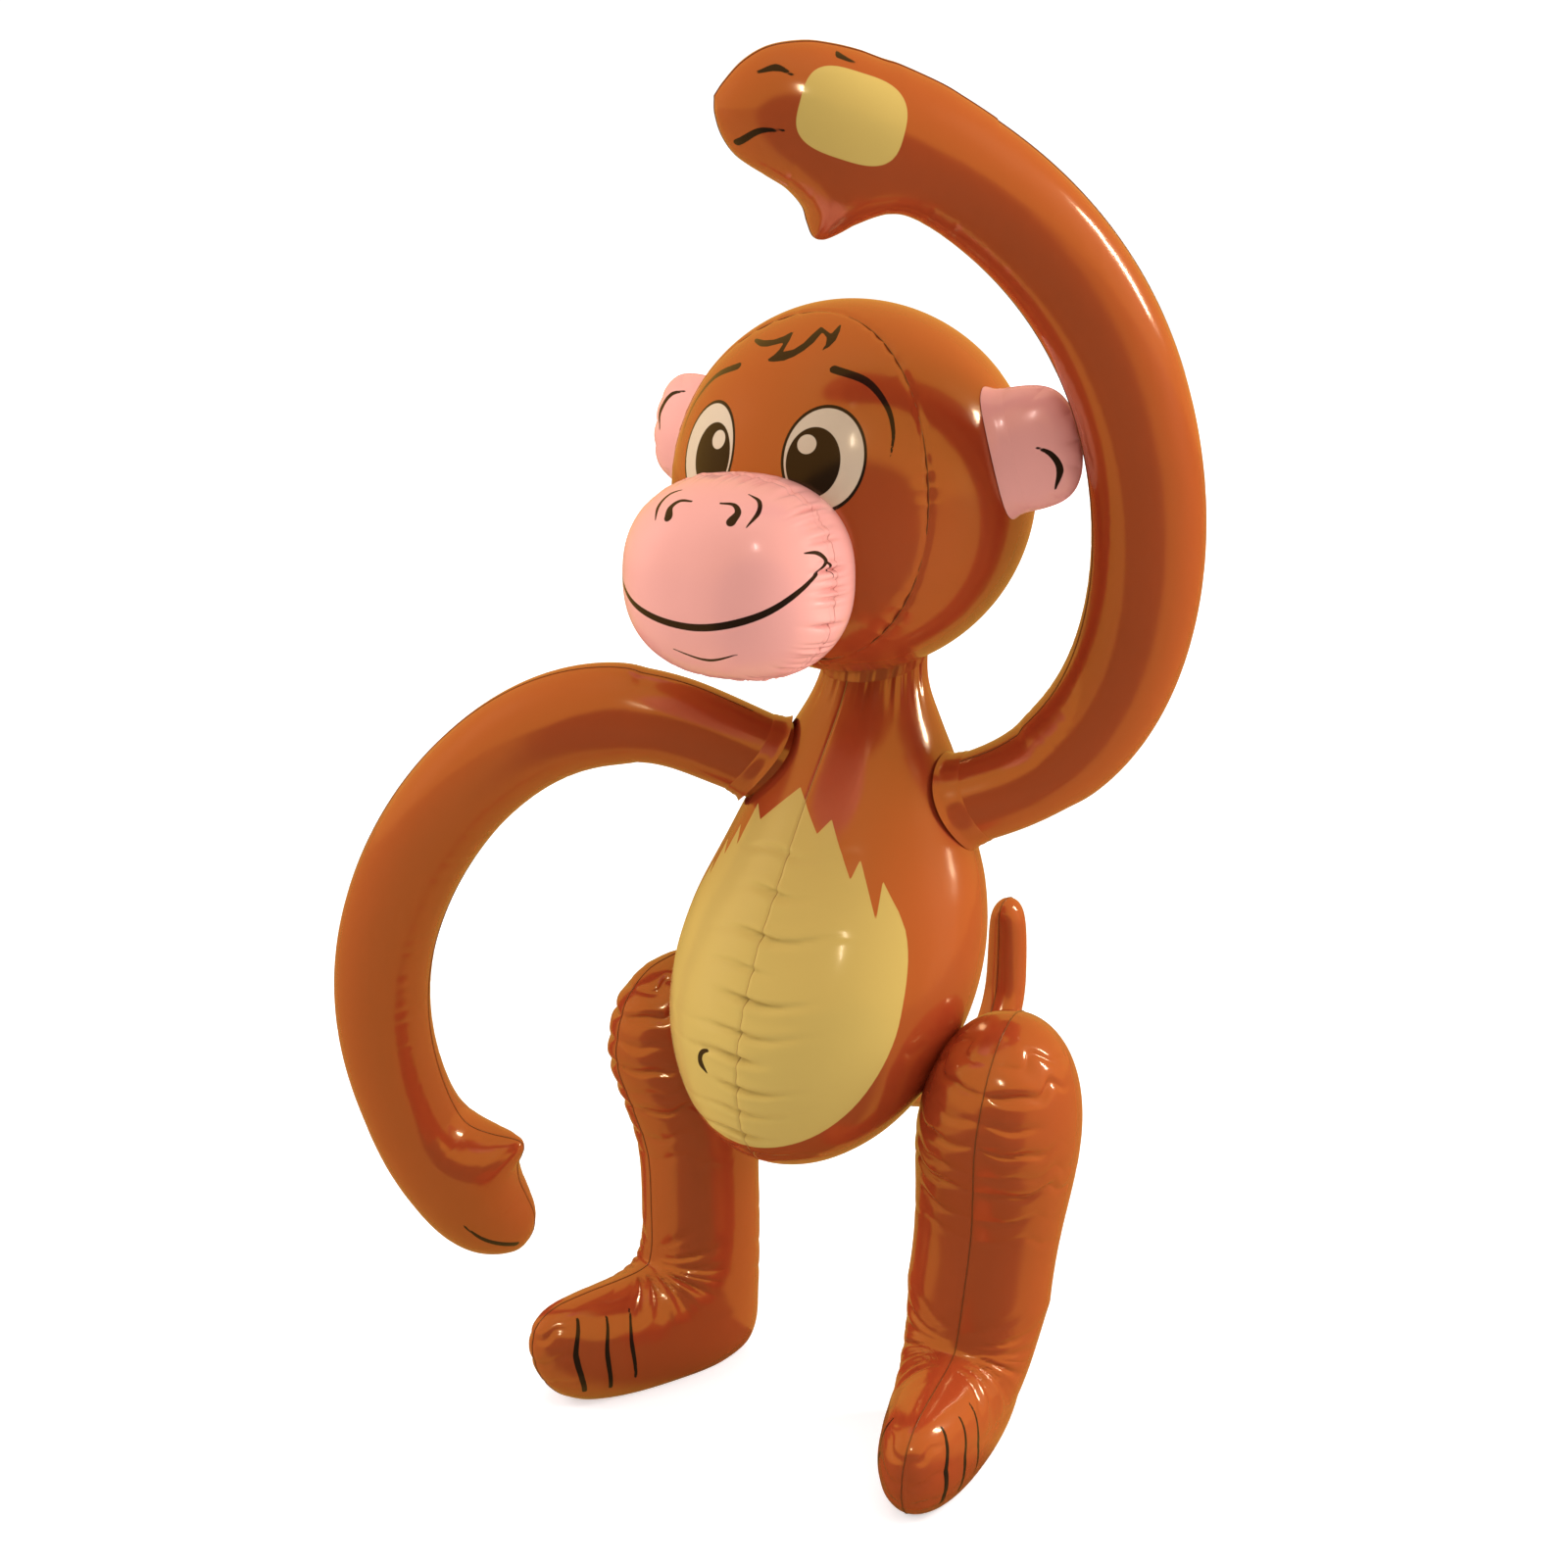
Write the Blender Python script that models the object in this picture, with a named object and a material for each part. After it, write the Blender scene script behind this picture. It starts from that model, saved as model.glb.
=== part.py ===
"""Inflatable toy monkey standing on its two feet, one arm raised and one arm hanging.

Lengths are in metres. The monkey faces -Y and its left side is +X. Every chamber is a
closed air-filled body: a spun torso and head, and limbs that are flat patterns blown up
between two welded panels.
"""

import math

import bmesh
import bpy
import numpy as np
from mathutils import Matrix, Vector

# Overall sizes
AIR_GAP = 0.0003
HEAD_RADIUS = 0.081
HEAD_CENTRE = (0.0, 0.035, 0.433)
NECK_TOP = (0.0, 0.055, 0.344)
TORSO_LEAN = 0.298
MUZZLE_CENTRE = (0.0, -0.055, 0.4035)
MUZZLE_HALF = (0.0505, 0.0415, 0.0435)
ARM_LENGTH = 0.461
ANKLE_HALF = 0.0292
THIGH_HALF = 0.0405
THIGH_FORWARD = 0.005
TOE_REACH = 0.098
FOOT_HEIGHT = 0.049
FOOT_FULLNESS = 0.80
LEG_HEIGHT = 0.2093
TAIL_HALF = 0.0098
TAIL_TIP = 0.04
HAND_REACH = 0.121
EAR_HALF_HEIGHT = 0.327 * HEAD_RADIUS
EAR_REACH = 0.401 * HEAD_RADIUS
EAR_ROOT = 0.25 * HEAD_RADIUS
EAR_FULLNESS = 0.55
EAR_PLACE = (0.944 * HEAD_RADIUS, 0.018 * HEAD_RADIUS, 0.235 * HEAD_RADIUS)

# Outline of an ear: share of its reach, share of its half height
EAR_EDGES = (
    (0.00, 1.00),
    (0.35, 0.99),
    (0.62, 0.93),
    (0.80, 0.80),
    (0.92, 0.58),
    (0.98, 0.32),
    (1.00, 0.04),
)

# Backward and upward aim of each ear in degrees; the raised arm bends its neighbour back
EAR_AIM = {"ear_left": (1, 18.0, 11.0), "ear_right": (-1, 3.0, 11.0)}

# Torso outline, as height of the axis point and radius round the leaning axis
TORSO_PROFILE = (
    (0.372, 0.0230),
    (0.352, 0.0240),
    (0.338, 0.0275),
    (0.320, 0.0365),
    (0.300, 0.0470),
    (0.274, 0.0575),
    (0.248, 0.0675),
    (0.222, 0.0718),
    (0.197, 0.0695),
    (0.173, 0.0605),
    (0.155, 0.0480),
    (0.143, 0.0335),
    (0.136, 0.0185),
    (0.133, 0.0),
)

# Turn of the arm in degrees against the distance from the shoulder weld
ARM_TURN = (
    (-0.040, 0.0),
    (0.010, 0.0),
    (0.030, 10.0),
    (0.090, 50.0),
    (0.147, 71.5),
    (0.245, 96.0),
    (0.348, 126.5),
    (0.403, 141.0),
    (0.461, 148.0),
)

# Arm pattern: distance, half width on the outside of the bend, half width on the inside
ARM_EDGES = (
    (-0.040, 0.0195, 0.0195),
    (0.000, 0.0205, 0.0205),
    (0.040, 0.0215, 0.0215),
    (0.080, 0.0245, 0.0245),
    (0.330, 0.0240, 0.0240),
    (0.358, 0.0245, 0.0240),
    (0.372, 0.0250, 0.0250),
    (0.380, 0.0255, 0.0285),
    (0.388, 0.0255, 0.0360),
    (0.394, 0.0255, 0.0432),
    (0.399, 0.0255, 0.0475),
    (0.404, 0.0250, 0.0475),
    (0.409, 0.0250, 0.0430),
    (0.414, 0.0250, 0.0375),
    (0.424, 0.0240, 0.0325),
    (0.434, 0.0220, 0.0300),
    (0.446, 0.0165, 0.0265),
    (0.454, 0.0085, 0.0205),
    (0.459, -0.0010, 0.0130),
    (0.461, -0.0065, 0.0065),
)

# Where each leg stands: side, ankle on the floor, splay and outward lean in degrees, fullness
LEG_STANCE = {
    "leg_right": (-1, (-0.0725, 0.0190), 20.0, 1.5, 0.93),
    "leg_left": (1, (0.0725, 0.0180), 12.5, 6.3, 1.08),
}

# Shoulder point, azimuth and elevation of the pattern's plane, heading at the shoulder.
# The raised arm passes close outside the ear, so its shoulder keeps its distance from the ear tip.
EAR_TIP_OUT = EAR_PLACE[0] + 0.934 * EAR_REACH
RAISED_SHOULDER_OUT = EAR_TIP_OUT - 0.0605
ARM_POSE = {
    "arm_right": ((-0.0528, 0.0160, 0.3136), 23.3, -16.8, 155.6),
    "arm_left": ((RAISED_SHOULDER_OUT, 0.0527, 0.2906), 39.9, -18.3, 18.9),
}

TAIL_PATH = (
    (0.030, 0.168),
    (0.066, 0.150),
    (0.105, 0.131),
    (0.145, 0.122),
    (0.176, 0.128),
    (0.193, 0.150),
    (0.196, 0.176),
    (0.195, 0.205),
)


def clear_scene():
    for item in list(bpy.data.objects):
        bpy.data.objects.remove(item, do_unlink=True)


def vinyl(name, colour):
    material = bpy.data.materials.new(name)
    material.use_nodes = True
    shader = material.node_tree.nodes["Principled BSDF"]
    shader.inputs["Base Color"].default_value = (*colour, 1.0)
    shader.inputs["Roughness"].default_value = 0.25
    return material


def add_solid(name, points, faces, material):
    """Makes one closed mesh object, its faces turned outward."""
    mesh = bpy.data.meshes.new(name)
    mesh.from_pydata([tuple(point) for point in points], [], faces)
    work = bmesh.new()
    work.from_mesh(mesh)
    bmesh.ops.recalc_face_normals(work, faces=work.faces)
    work.to_mesh(mesh)
    work.free()
    item = bpy.data.objects.new(name, mesh)
    bpy.context.scene.collection.objects.link(item)
    item.data.materials.append(material)
    return item


def smooth_path(points, count):
    """Points evenly spaced along a smooth curve through the given points."""
    knots = np.array(points, float)
    padded = np.vstack([2 * knots[0] - knots[1], knots, 2 * knots[-1] - knots[-2]])
    dense = []
    for start in range(len(knots) - 1):
        a, b, c, d = padded[start : start + 4]
        for t in np.linspace(0.0, 1.0, 16, endpoint=False):
            dense.append(
                0.5
                * (
                    2 * b
                    + (c - a) * t
                    + (2 * a - 5 * b + 4 * c - d) * t**2
                    + (3 * b - a - 3 * c + d) * t**3
                )
            )
    dense.append(knots[-1])
    dense = np.array(dense)
    run = np.r_[0.0, np.cumsum(np.linalg.norm(np.diff(dense, axis=0), axis=1))]
    at = np.linspace(0.0, run[-1], count)
    return np.stack([np.interp(at, run, column) for column in dense.T], axis=-1)


def spun(profile, around, place):
    """Points and faces of a profile of (along, radius) spun round its axis."""
    points = []
    rings = []
    for along, radius in profile:
        if radius < 1e-6:
            rings.append([len(points)])
            points.append(place(along, 0.0, 0.0))
            continue
        rings.append(list(range(len(points), len(points) + around)))
        for step in range(around):
            angle = 2 * math.pi * step / around
            points.append(place(along, radius * math.cos(angle), radius * math.sin(angle)))
    faces = []
    for first, second in zip(rings[:-1], rings[1:]):
        for step in range(around):
            after = (step + 1) % around
            corners = [
                first[step % len(first)],
                first[after % len(first)],
                second[after % len(second)],
                second[step % len(second)],
            ]
            faces.append(list(dict.fromkeys(corners)))
    for ring in (rings[0], rings[-1]):
        if len(ring) > 1:
            faces.append(ring)
    return points, faces


def torso_shape(extra, around=40, along=22):
    """The leaning pear, grown outward by extra."""
    profile = smooth_path(TORSO_PROFILE, along)
    slope = np.gradient(profile, axis=0)
    slope /= np.linalg.norm(slope, axis=1)[:, None]
    outward = np.stack([slope[:, 1], -slope[:, 0]], axis=-1)
    outward[-1] = (-1.0, 0.0)
    outward[0] = (0.0, 1.0)
    grown = profile + extra * outward
    grown[-1, 1] = 0.0

    def place(height, side, front):
        lean = (NECK_TOP[2] - height) * TORSO_LEAN
        return (side, NECK_TOP[1] - lean - front, height - front * TORSO_LEAN * 0.5)

    return spun(grown, around, place)


def head_shape(extra, around=40, along=24):
    """A near sphere, fuller behind, whose face panel is welded on along a shallow groove."""
    profile = []
    for step in range(along + 1):
        angle = math.pi * step / along
        forward = -math.cos(angle)
        out = abs(math.sin(angle)) ** (0.90 if forward < 0 else 1.0)
        groove = 0.0012 * math.exp(-(((forward - 0.52) / 0.06) ** 2))
        reach = 1.04 if forward < 0 else 0.97
        radius = HEAD_RADIUS - groove
        profile.append((radius * reach * forward + extra * forward, radius * out + extra * out))
    profile[0] = (profile[0][0], 0.0)
    profile[-1] = (profile[-1][0], 0.0)

    def place(forward, side, up):
        return (
            HEAD_CENTRE[0] + side,
            HEAD_CENTRE[1] - forward,
            HEAD_CENTRE[2] + up * 1.02,
        )

    return spun(profile, around, place)


def edge_curve(table, at):
    """Smooth value of each column of the table at the places given."""
    path = smooth_path(table, 40 * len(table))
    return [np.interp(at, path[:, 0], path[:, column]) for column in range(1, path.shape[1])]


def puffed(flat, fixed):
    """Half thickness of two flat panels blown up, zero along the fixed weld points."""
    rows, columns = flat.shape[:2]
    index = np.arange(rows * columns).reshape(rows, columns)
    points = flat.reshape(-1, 2)
    corners = []
    for i in range(rows - 1):
        for j in range(columns - 1):
            a, b, c, d = index[i, j], index[i + 1, j], index[i + 1, j + 1], index[i, j + 1]
            corners += [(a, b, c), (a, c, d), (a, b, d), (b, c, d)]
    corners = np.array(corners)
    stiff = np.zeros((len(points), len(points)))
    load = np.zeros(len(points))
    for turn in range(3):
        p, q, r = (corners[:, (turn + k) % 3] for k in range(3))
        u, v = points[q] - points[p], points[r] - points[p]
        cross = np.abs(u[:, 0] * v[:, 1] - u[:, 1] * v[:, 0])
        good = cross > 1e-12
        weight = np.where(good, np.sum(u * v, axis=1) / np.where(good, cross, 1.0), 0.0)
        weight = np.clip(weight, -20.0, 20.0) * 0.25
        for one, two in ((q, r), (r, q)):
            np.add.at(stiff, (one, one), weight)
            np.add.at(stiff, (one, two), -weight)
        np.add.at(load, p, cross / 12.0 * 2.0)
    held = fixed.reshape(-1) | (np.diag(stiff) < 1e-9)
    free = np.flatnonzero(~held)
    level = np.zeros(len(points))
    level[free] = np.linalg.solve(stiff[np.ix_(free, free)], load[free])
    return np.sqrt(np.maximum(level, 0.0)).reshape(rows, columns)


def panel_pair(name, flat, height, open_first, frame, material):
    """Closed body of two mirrored panels that meet at the weld along the pattern's edge."""
    origin, right, up, normal = (np.array(part, float) for part in frame)
    rows, columns = height.shape
    points = []
    front = np.zeros((rows, columns), int)
    back = np.zeros((rows, columns), int)
    for i in range(rows):
        pinched = (i == rows - 1) or (i == 0 and not open_first)
        for j in range(columns):
            if pinched and j > 0:
                front[i, j] = front[i, 0]
                back[i, j] = front[i, 0]
                continue
            x, y = flat[i].mean(axis=0) if pinched else flat[i, j]
            base = origin + x * right + y * up
            rim = pinched or j in (0, columns - 1)
            lift = 0.0 if rim else height[i, j]
            front[i, j] = len(points)
            points.append(base + lift * normal)
            back[i, j] = front[i, j]
            if not rim:
                back[i, j] = len(points)
                points.append(base - lift * normal)
    faces = []
    for side in (front, back):
        for i in range(rows - 1):
            for j in range(columns - 1):
                ring = [side[i, j], side[i + 1, j], side[i + 1, j + 1], side[i, j + 1]]
                if side is back:
                    ring.reverse()
                ring = list(dict.fromkeys(int(one) for one in ring))
                if len(ring) > 2:
                    faces.append(ring)
    if open_first:
        ring = list(front[0]) + list(back[0][-2:0:-1])
        faces.append([int(one) for one in ring])
    return add_solid(name, points, faces, material)


def across(columns):
    """Places from -1 to 1 over the pattern, closer together at its edges."""
    return np.sin(np.linspace(-0.5, 0.5, columns) * math.pi)


def weld_mask(rows, columns, open_first):
    fixed = np.zeros((rows, columns), bool)
    fixed[:, 0] = True
    fixed[:, -1] = True
    fixed[-1] = True
    fixed[0] = fixed[0] | (not open_first)
    return fixed


def ribbon(path, outer, inner, columns):
    """Flat pattern grid that follows a path with a width on each side of it."""
    step = np.gradient(path, axis=0)
    step /= np.linalg.norm(step, axis=1)[:, None]
    side = np.stack([-step[:, 1], step[:, 0]], axis=-1)
    t = across(columns)[None, :, None]
    middle = (0.5 * (inner - outer))[:, None, None]
    half = (0.5 * (inner + outer))[:, None, None]
    return path[:, None, :] + side[:, None, :] * (middle + half * t)


def arm_pattern(rows=34, columns=8):
    """Flat arm with its hand and thumb, starting at the shoulder weld and heading along +X."""
    root = ARM_EDGES[0][0]
    even = np.linspace(root, ARM_LENGTH - HAND_REACH, rows - 14)
    hand = ARM_LENGTH - HAND_REACH * (1 - np.sin(np.linspace(0, 0.5, 15) * math.pi))[1:]
    at = np.r_[even, hand]
    fine = np.linspace(root, ARM_LENGTH, 1021)
    turn = np.radians(edge_curve(ARM_TURN, fine)[0])
    x = np.r_[0.0, np.cumsum(np.cos(turn[:-1]) * np.diff(fine))]
    y = np.r_[0.0, np.cumsum(np.sin(turn[:-1]) * np.diff(fine))]
    x -= np.interp(0.0, fine, x)
    path = np.stack([np.interp(at, fine, x), np.interp(at, fine, y)], axis=-1)
    outer, inner = edge_curve(ARM_EDGES, at)
    return ribbon(path, outer, inner, columns)


def add_arm(name, material):
    start, azimuth, elevation, heading = ARM_POSE[name]
    az, el = math.radians(azimuth), math.radians(elevation)
    normal = Vector((math.sin(az) * math.cos(el), -math.cos(az) * math.cos(el), math.sin(el)))
    level = Vector((0, 0, 1)).cross(normal).normalized()
    rise = normal.cross(level)
    begin = math.radians(heading)
    right = level * math.cos(begin) + rise * math.sin(begin)
    up = normal.cross(right)
    flat = arm_pattern()
    height = puffed(flat, weld_mask(*flat.shape[:2], True))
    return panel_pair(name, flat, height, True, (start, right, up, normal), material)


def leg_edges():
    """Side outline of the boot-shaped leg as rows of height, back edge and front edge."""
    a, thigh, lean_in, toe = ANKLE_HALF, THIGH_HALF, THIGH_FORWARD, TOE_REACH
    foot, top = FOOT_HEIGHT, LEG_HEIGHT
    knee = 0.5 * (a + thigh)
    rows = [
        (-0.007, 0.006, toe - 0.050),
        (-0.004, -0.008, toe - 0.034),
        (0.000, 0.008 - a, toe - 0.022),
        (0.006, 0.003 - a, toe - 0.012),
        (0.016, -a, toe - 0.004),
        (0.028, -a, toe),
        (foot - 0.010, -a, toe - 0.001),
        (foot - 0.004, -a, toe - 0.006),
        (foot, -a, toe - 0.015),
        (foot + 0.002, -a, toe - 0.030),
        (foot + 0.005, -a, a + 0.008),
        (foot + 0.012, -a, a + 0.001),
        (0.085, -a, a),
        (0.112, -a, a + 0.001),
        (0.135, 0.5 * lean_in - knee, 0.5 * lean_in + knee),
        (0.158, lean_in - thigh, lean_in + thigh),
    ]
    for drop, share in ((0.036, 1.0), (0.018, 0.85), (0.006, 0.55), (0.001, 0.2), (0.0, 0.03)):
        rows.append((top - drop, lean_in - share * thigh, lean_in + share * thigh))
    return np.array(rows)


def add_leg(name, material, columns=10):
    side, ankle, splay, lean, fullness = LEG_STANCE[name]
    levels, back, front = leg_edges().T
    t = (across(columns) + 1) / 2
    flat = np.zeros((len(levels), columns, 2))
    flat[:, :, 0] = back[:, None] + (front - back)[:, None] * t[None, :]
    flat[:, :, 1] = levels[:, None]
    blend = np.clip((levels - 0.030) / 0.045, 0.0, 1.0)[:, None]
    share = FOOT_FULLNESS + (fullness - FOOT_FULLNESS) * blend
    height = share * puffed(flat, weld_mask(len(levels), columns, False))
    turn = math.radians(splay)
    forward = Vector((side * math.sin(turn), -math.cos(turn), 0.0))
    outward = Vector((side * math.cos(turn), math.sin(turn), 0.0))
    tilt = math.radians(lean)
    up = Vector((0, 0, 1)) * math.cos(tilt) + outward * math.sin(tilt)
    normal = forward.cross(up)
    leg = panel_pair(name, flat, height, False, ((*ankle, 0.0), forward, up, normal), material)
    flatten_sole(leg)
    return leg


def flatten_sole(leg):
    """Cuts the foot level at the floor and closes it with one flat face."""
    work = bmesh.new()
    work.from_mesh(leg.data)
    everything = work.verts[:] + work.edges[:] + work.faces[:]
    bmesh.ops.bisect_plane(
        work, geom=everything, plane_co=(0, 0, 0), plane_no=(0, 0, 1), clear_inner=True
    )
    rim = [edge for edge in work.edges if len(edge.link_faces) == 1]
    bmesh.ops.edgeloop_fill(work, edges=rim)
    bmesh.ops.recalc_face_normals(work, faces=work.faces)
    work.to_mesh(leg.data)
    work.free()


def add_tail(material, rows=30, columns=6):
    path = smooth_path(TAIL_PATH, rows)
    run = np.linspace(0.0, 1.0, rows)
    half = TAIL_HALF * (1.4 - 0.4 * run)
    tip = np.clip((1.0 - run) / TAIL_TIP, 0.0, 1.0)
    half = half * np.sqrt(1 - (1 - tip) ** 2) + 1e-5
    flat = ribbon(path, half, half, columns)
    height = puffed(flat, weld_mask(rows, columns, True))
    frame = ((0, 0, 0), (0, 1, 0), (0, 0, 1), (1, 0, 0))
    return panel_pair("tail", flat, height, True, frame, material)


def add_ear(name, material, rows=16, columns=8):
    """Pillow ear like a short thick tongue, rooted in the side of the head."""
    side, back, rise = EAR_AIM[name]
    turn, lift = math.radians(back), math.radians(rise)
    at = np.r_[-EAR_ROOT, EAR_REACH * np.sin(np.linspace(0.0, 0.5, rows - 1) * math.pi)]
    share = edge_curve(EAR_EDGES, np.maximum(at / EAR_REACH, 0.0))[0]
    path = np.stack([at, np.zeros(rows)], axis=-1)
    flat = ribbon(path, EAR_HALF_HEIGHT * share, EAR_HALF_HEIGHT * share, columns)
    height = EAR_FULLNESS * puffed(flat, weld_mask(rows, columns, True))
    outward = Vector((side * math.cos(turn), math.sin(turn), 0.0))
    right = outward * math.cos(lift) + Vector((0, 0, 1)) * math.sin(lift)
    up = Vector((0, 0, 1)) * math.cos(lift) - outward * math.sin(lift)
    normal = Vector((-side * math.sin(turn), math.cos(turn), 0.0))
    start = Vector(HEAD_CENTRE) + Vector((side * EAR_PLACE[0], *EAR_PLACE[1:]))
    return panel_pair(name, flat, height, True, (start, right, up, normal), material)


def add_muzzle(material, around=32, along=16):
    """Pillow with a rounded front and a flatter side band."""
    profile = []
    for step in range(along + 1):
        angle = math.pi * step / along
        forward, out = -math.cos(angle), math.sin(angle)
        profile.append((math.copysign(abs(forward) ** 1.05, forward), abs(out) ** 0.80))
    profile[0] = (-1.0, 0.0)
    profile[-1] = (1.0, 0.0)

    def place(forward, side, up):
        return (
            MUZZLE_CENTRE[0] + side * MUZZLE_HALF[0],
            MUZZLE_CENTRE[1] - forward * MUZZLE_HALF[1],
            MUZZLE_CENTRE[2] + up * MUZZLE_HALF[2],
        )

    points, faces = spun(profile, around, place)
    return add_solid("muzzle", points, faces, material)


def add_cutter(name, shape):
    cutter = add_solid(name, *shape, bpy.data.materials["brown_vinyl"])
    cutter.hide_render = True
    cutter.display_type = "WIRE"
    return cutter


def cut(body, cutter):
    step = body.modifiers.new("clear_" + cutter.name, "BOOLEAN")
    step.operation = "DIFFERENCE"
    step.solver = "EXACT"
    step.object = cutter


def main():
    clear_scene()
    brown = vinyl("brown_vinyl", (0.32, 0.085, 0.025))
    pink = vinyl("pink_vinyl", (0.85, 0.42, 0.36))
    torso = add_solid("torso", *torso_shape(0.0), brown)
    head = add_solid("head", *head_shape(0.0), brown)
    muzzle = add_muzzle(pink)
    ears = [add_ear(name, pink) for name in EAR_AIM]
    arms = [add_arm(name, brown) for name in ARM_POSE]
    legs = [add_leg(name, brown) for name in LEG_STANCE]
    tail = add_tail(brown)
    torso_space = add_cutter("torso_space", torso_shape(AIR_GAP))
    head_space = add_cutter("head_space", head_shape(AIR_GAP))
    for body in [torso, muzzle] + ears:
        cut(body, head_space)
    for body in arms + legs + [tail]:
        cut(body, torso_space)
    spread = np.array([point.co for body in arms + [tail] for point in body.data.vertices])
    middle = 0.5 * (spread.min(axis=0) + spread.max(axis=0))
    shift = Vector((-middle[0], -middle[1], 0.0))
    for body in bpy.data.objects:
        body.data.transform(Matrix.Translation(shift))


main()
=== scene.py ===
# %% [markdown]
# # An inflatable monkey in glossy vinyl
# The toy is a set of welded chambers full of air. Each cell below makes one kind of chamber,
# dresses it with its welds and creases, prints the face and belly on it, and lights it softly.

# %% Tools and the frame
import math

import bmesh
import bpy
import numpy as np
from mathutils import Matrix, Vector


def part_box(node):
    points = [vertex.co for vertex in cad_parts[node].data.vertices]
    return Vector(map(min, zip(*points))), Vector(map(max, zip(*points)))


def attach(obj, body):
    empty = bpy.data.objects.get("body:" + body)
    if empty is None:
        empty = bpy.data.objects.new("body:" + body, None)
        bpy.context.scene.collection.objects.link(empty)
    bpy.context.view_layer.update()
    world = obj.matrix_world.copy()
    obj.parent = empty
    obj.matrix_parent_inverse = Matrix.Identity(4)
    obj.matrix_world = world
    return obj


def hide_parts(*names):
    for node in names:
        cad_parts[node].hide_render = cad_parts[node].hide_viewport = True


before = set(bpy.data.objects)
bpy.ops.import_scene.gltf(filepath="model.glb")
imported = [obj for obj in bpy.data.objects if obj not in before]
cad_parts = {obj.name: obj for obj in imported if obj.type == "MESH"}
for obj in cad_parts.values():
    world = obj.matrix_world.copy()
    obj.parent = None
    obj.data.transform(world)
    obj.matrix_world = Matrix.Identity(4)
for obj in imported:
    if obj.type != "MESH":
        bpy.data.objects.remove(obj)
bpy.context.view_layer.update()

# %% [markdown]
# ## Named sizes
# All lengths are in metres. The monkey faces -Y, its left side is +X, and the figure's own
# origin lies on the floor between its feet, so one shift brings it into the shared frame.
# Only the sizes that several pieces share stand here. The others stand where they are used,
# because a number is easier to follow next to the shape that it makes.

# %% Named sizes
HEAD_RADIUS = 0.081
HEAD_FRONT, HEAD_TALL = 0.97, 1.02
HEAD_CENTRE = np.array((0.0, 0.035, 0.433))
NECK_TOP = np.array((0.0, 0.055, 0.344))
TORSO_LEAN = 0.298
EAR_REACH = 0.401 * HEAD_RADIUS
EAR_PLACE = np.array((0.944, 0.018, 0.235)) * HEAD_RADIUS
WELD_RADIUS = 0.0003
ROOT_CLEAR = 0.0004
MM = 0.001

# The head's own box says where the figure stands in the shared frame.
head_low, head_high = (np.array(corner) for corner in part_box("head"))
SHIFT = np.array(
    (
        0.5 * (head_low[0] + head_high[0]),
        head_low[1] - (HEAD_CENTRE[1] - HEAD_FRONT * HEAD_RADIUS),
        0.0,
    )
)
print("shift into the frame", SHIFT.round(4))

# %% [markdown]
# ## The photographer's camera
# A 54 mm lens about a metre away, turned 33 degrees from the front and 13 degrees down, makes
# the head look level and the feet look seen from above. The camera could be placed by hand
# until the picture fits. Here it was solved from the places of the soles and the head, so that
# lengths could be read off the photo.

# %% Camera
CAMERA_TURN = math.radians(33.0)
CAMERA_PITCH = math.radians(13.0)
camera_data = bpy.data.cameras.new("camera")
camera_data.lens = 54.0
camera_data.sensor_width = 36.0
camera = bpy.data.objects.new("camera", camera_data)
bpy.context.scene.collection.objects.link(camera)
camera.location = Vector((0.5480, -0.8638, 0.54)) + Vector(SHIFT)
camera.rotation_euler = (math.pi / 2 - CAMERA_PITCH, 0.0, CAMERA_TURN)
bpy.context.scene.camera = camera
print("camera at", [round(v, 3) for v in camera.location])

# %% [markdown]
# ## Smooth curves and flat patterns
# Real chambers are cut from flat film along curved lines, so each limb begins as a flat
# pattern too. A Bezier curve could draw its edge. A table of places and widths, smoothed by a
# spline, was chosen because both edges of a limb then stay in step along its middle line.


# %% Smooth curves and flat patterns
def smooth_path(points, count):
    """Points evenly spaced along a smooth curve through the given points."""
    knots = np.array(points, float)
    padded = np.vstack([2 * knots[0] - knots[1], knots, 2 * knots[-1] - knots[-2]])
    dense = []
    for start in range(len(knots) - 1):
        a, b, c, d = padded[start : start + 4]
        for t in np.linspace(0.0, 1.0, 16, endpoint=False):
            dense.append(
                0.5
                * (
                    2 * b
                    + (c - a) * t
                    + (2 * a - 5 * b + 4 * c - d) * t**2
                    + (3 * b - a - 3 * c + d) * t**3
                )
            )
    dense.append(knots[-1])
    dense = np.array(dense)
    run = np.r_[0.0, np.cumsum(np.linalg.norm(np.diff(dense, axis=0), axis=1))]
    at = np.linspace(0.0, run[-1], count)
    return np.stack([np.interp(at, run, column) for column in dense.T], axis=-1)


def soften(values, reach):
    """Running blend along the first axis that removes the corners of a sampled curve."""
    kernel = np.hanning(2 * reach + 3)[1:-1]
    kernel /= kernel.sum()
    padded = np.concatenate([[values[0]] * reach, values, [values[-1]] * reach])
    return np.convolve(padded, kernel, mode="valid")


def edge_curve(table, at):
    """Smooth value of each column of the table at the places given."""
    path = smooth_path(table, 60 * len(table))
    return [np.interp(at, path[:, 0], soften(path[:, k], 12)) for k in range(1, path.shape[1])]


def across(columns):
    return np.sin(np.linspace(-0.5, 0.5, columns) * math.pi)


def ribbon(path, outer, inner, columns):
    """Flat pattern grid that follows a path with a width on each side of it."""
    step = np.gradient(path, axis=0)
    step /= np.linalg.norm(step, axis=1)[:, None]
    side = np.stack([-step[:, 1], step[:, 0]], axis=-1)
    t = across(columns)[None, :, None]
    middle = (0.5 * (inner - outer))[:, None, None]
    half = (0.5 * (inner + outer))[:, None, None]
    return path[:, None, :] + side[:, None, :] * (middle + half * t)


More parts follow.
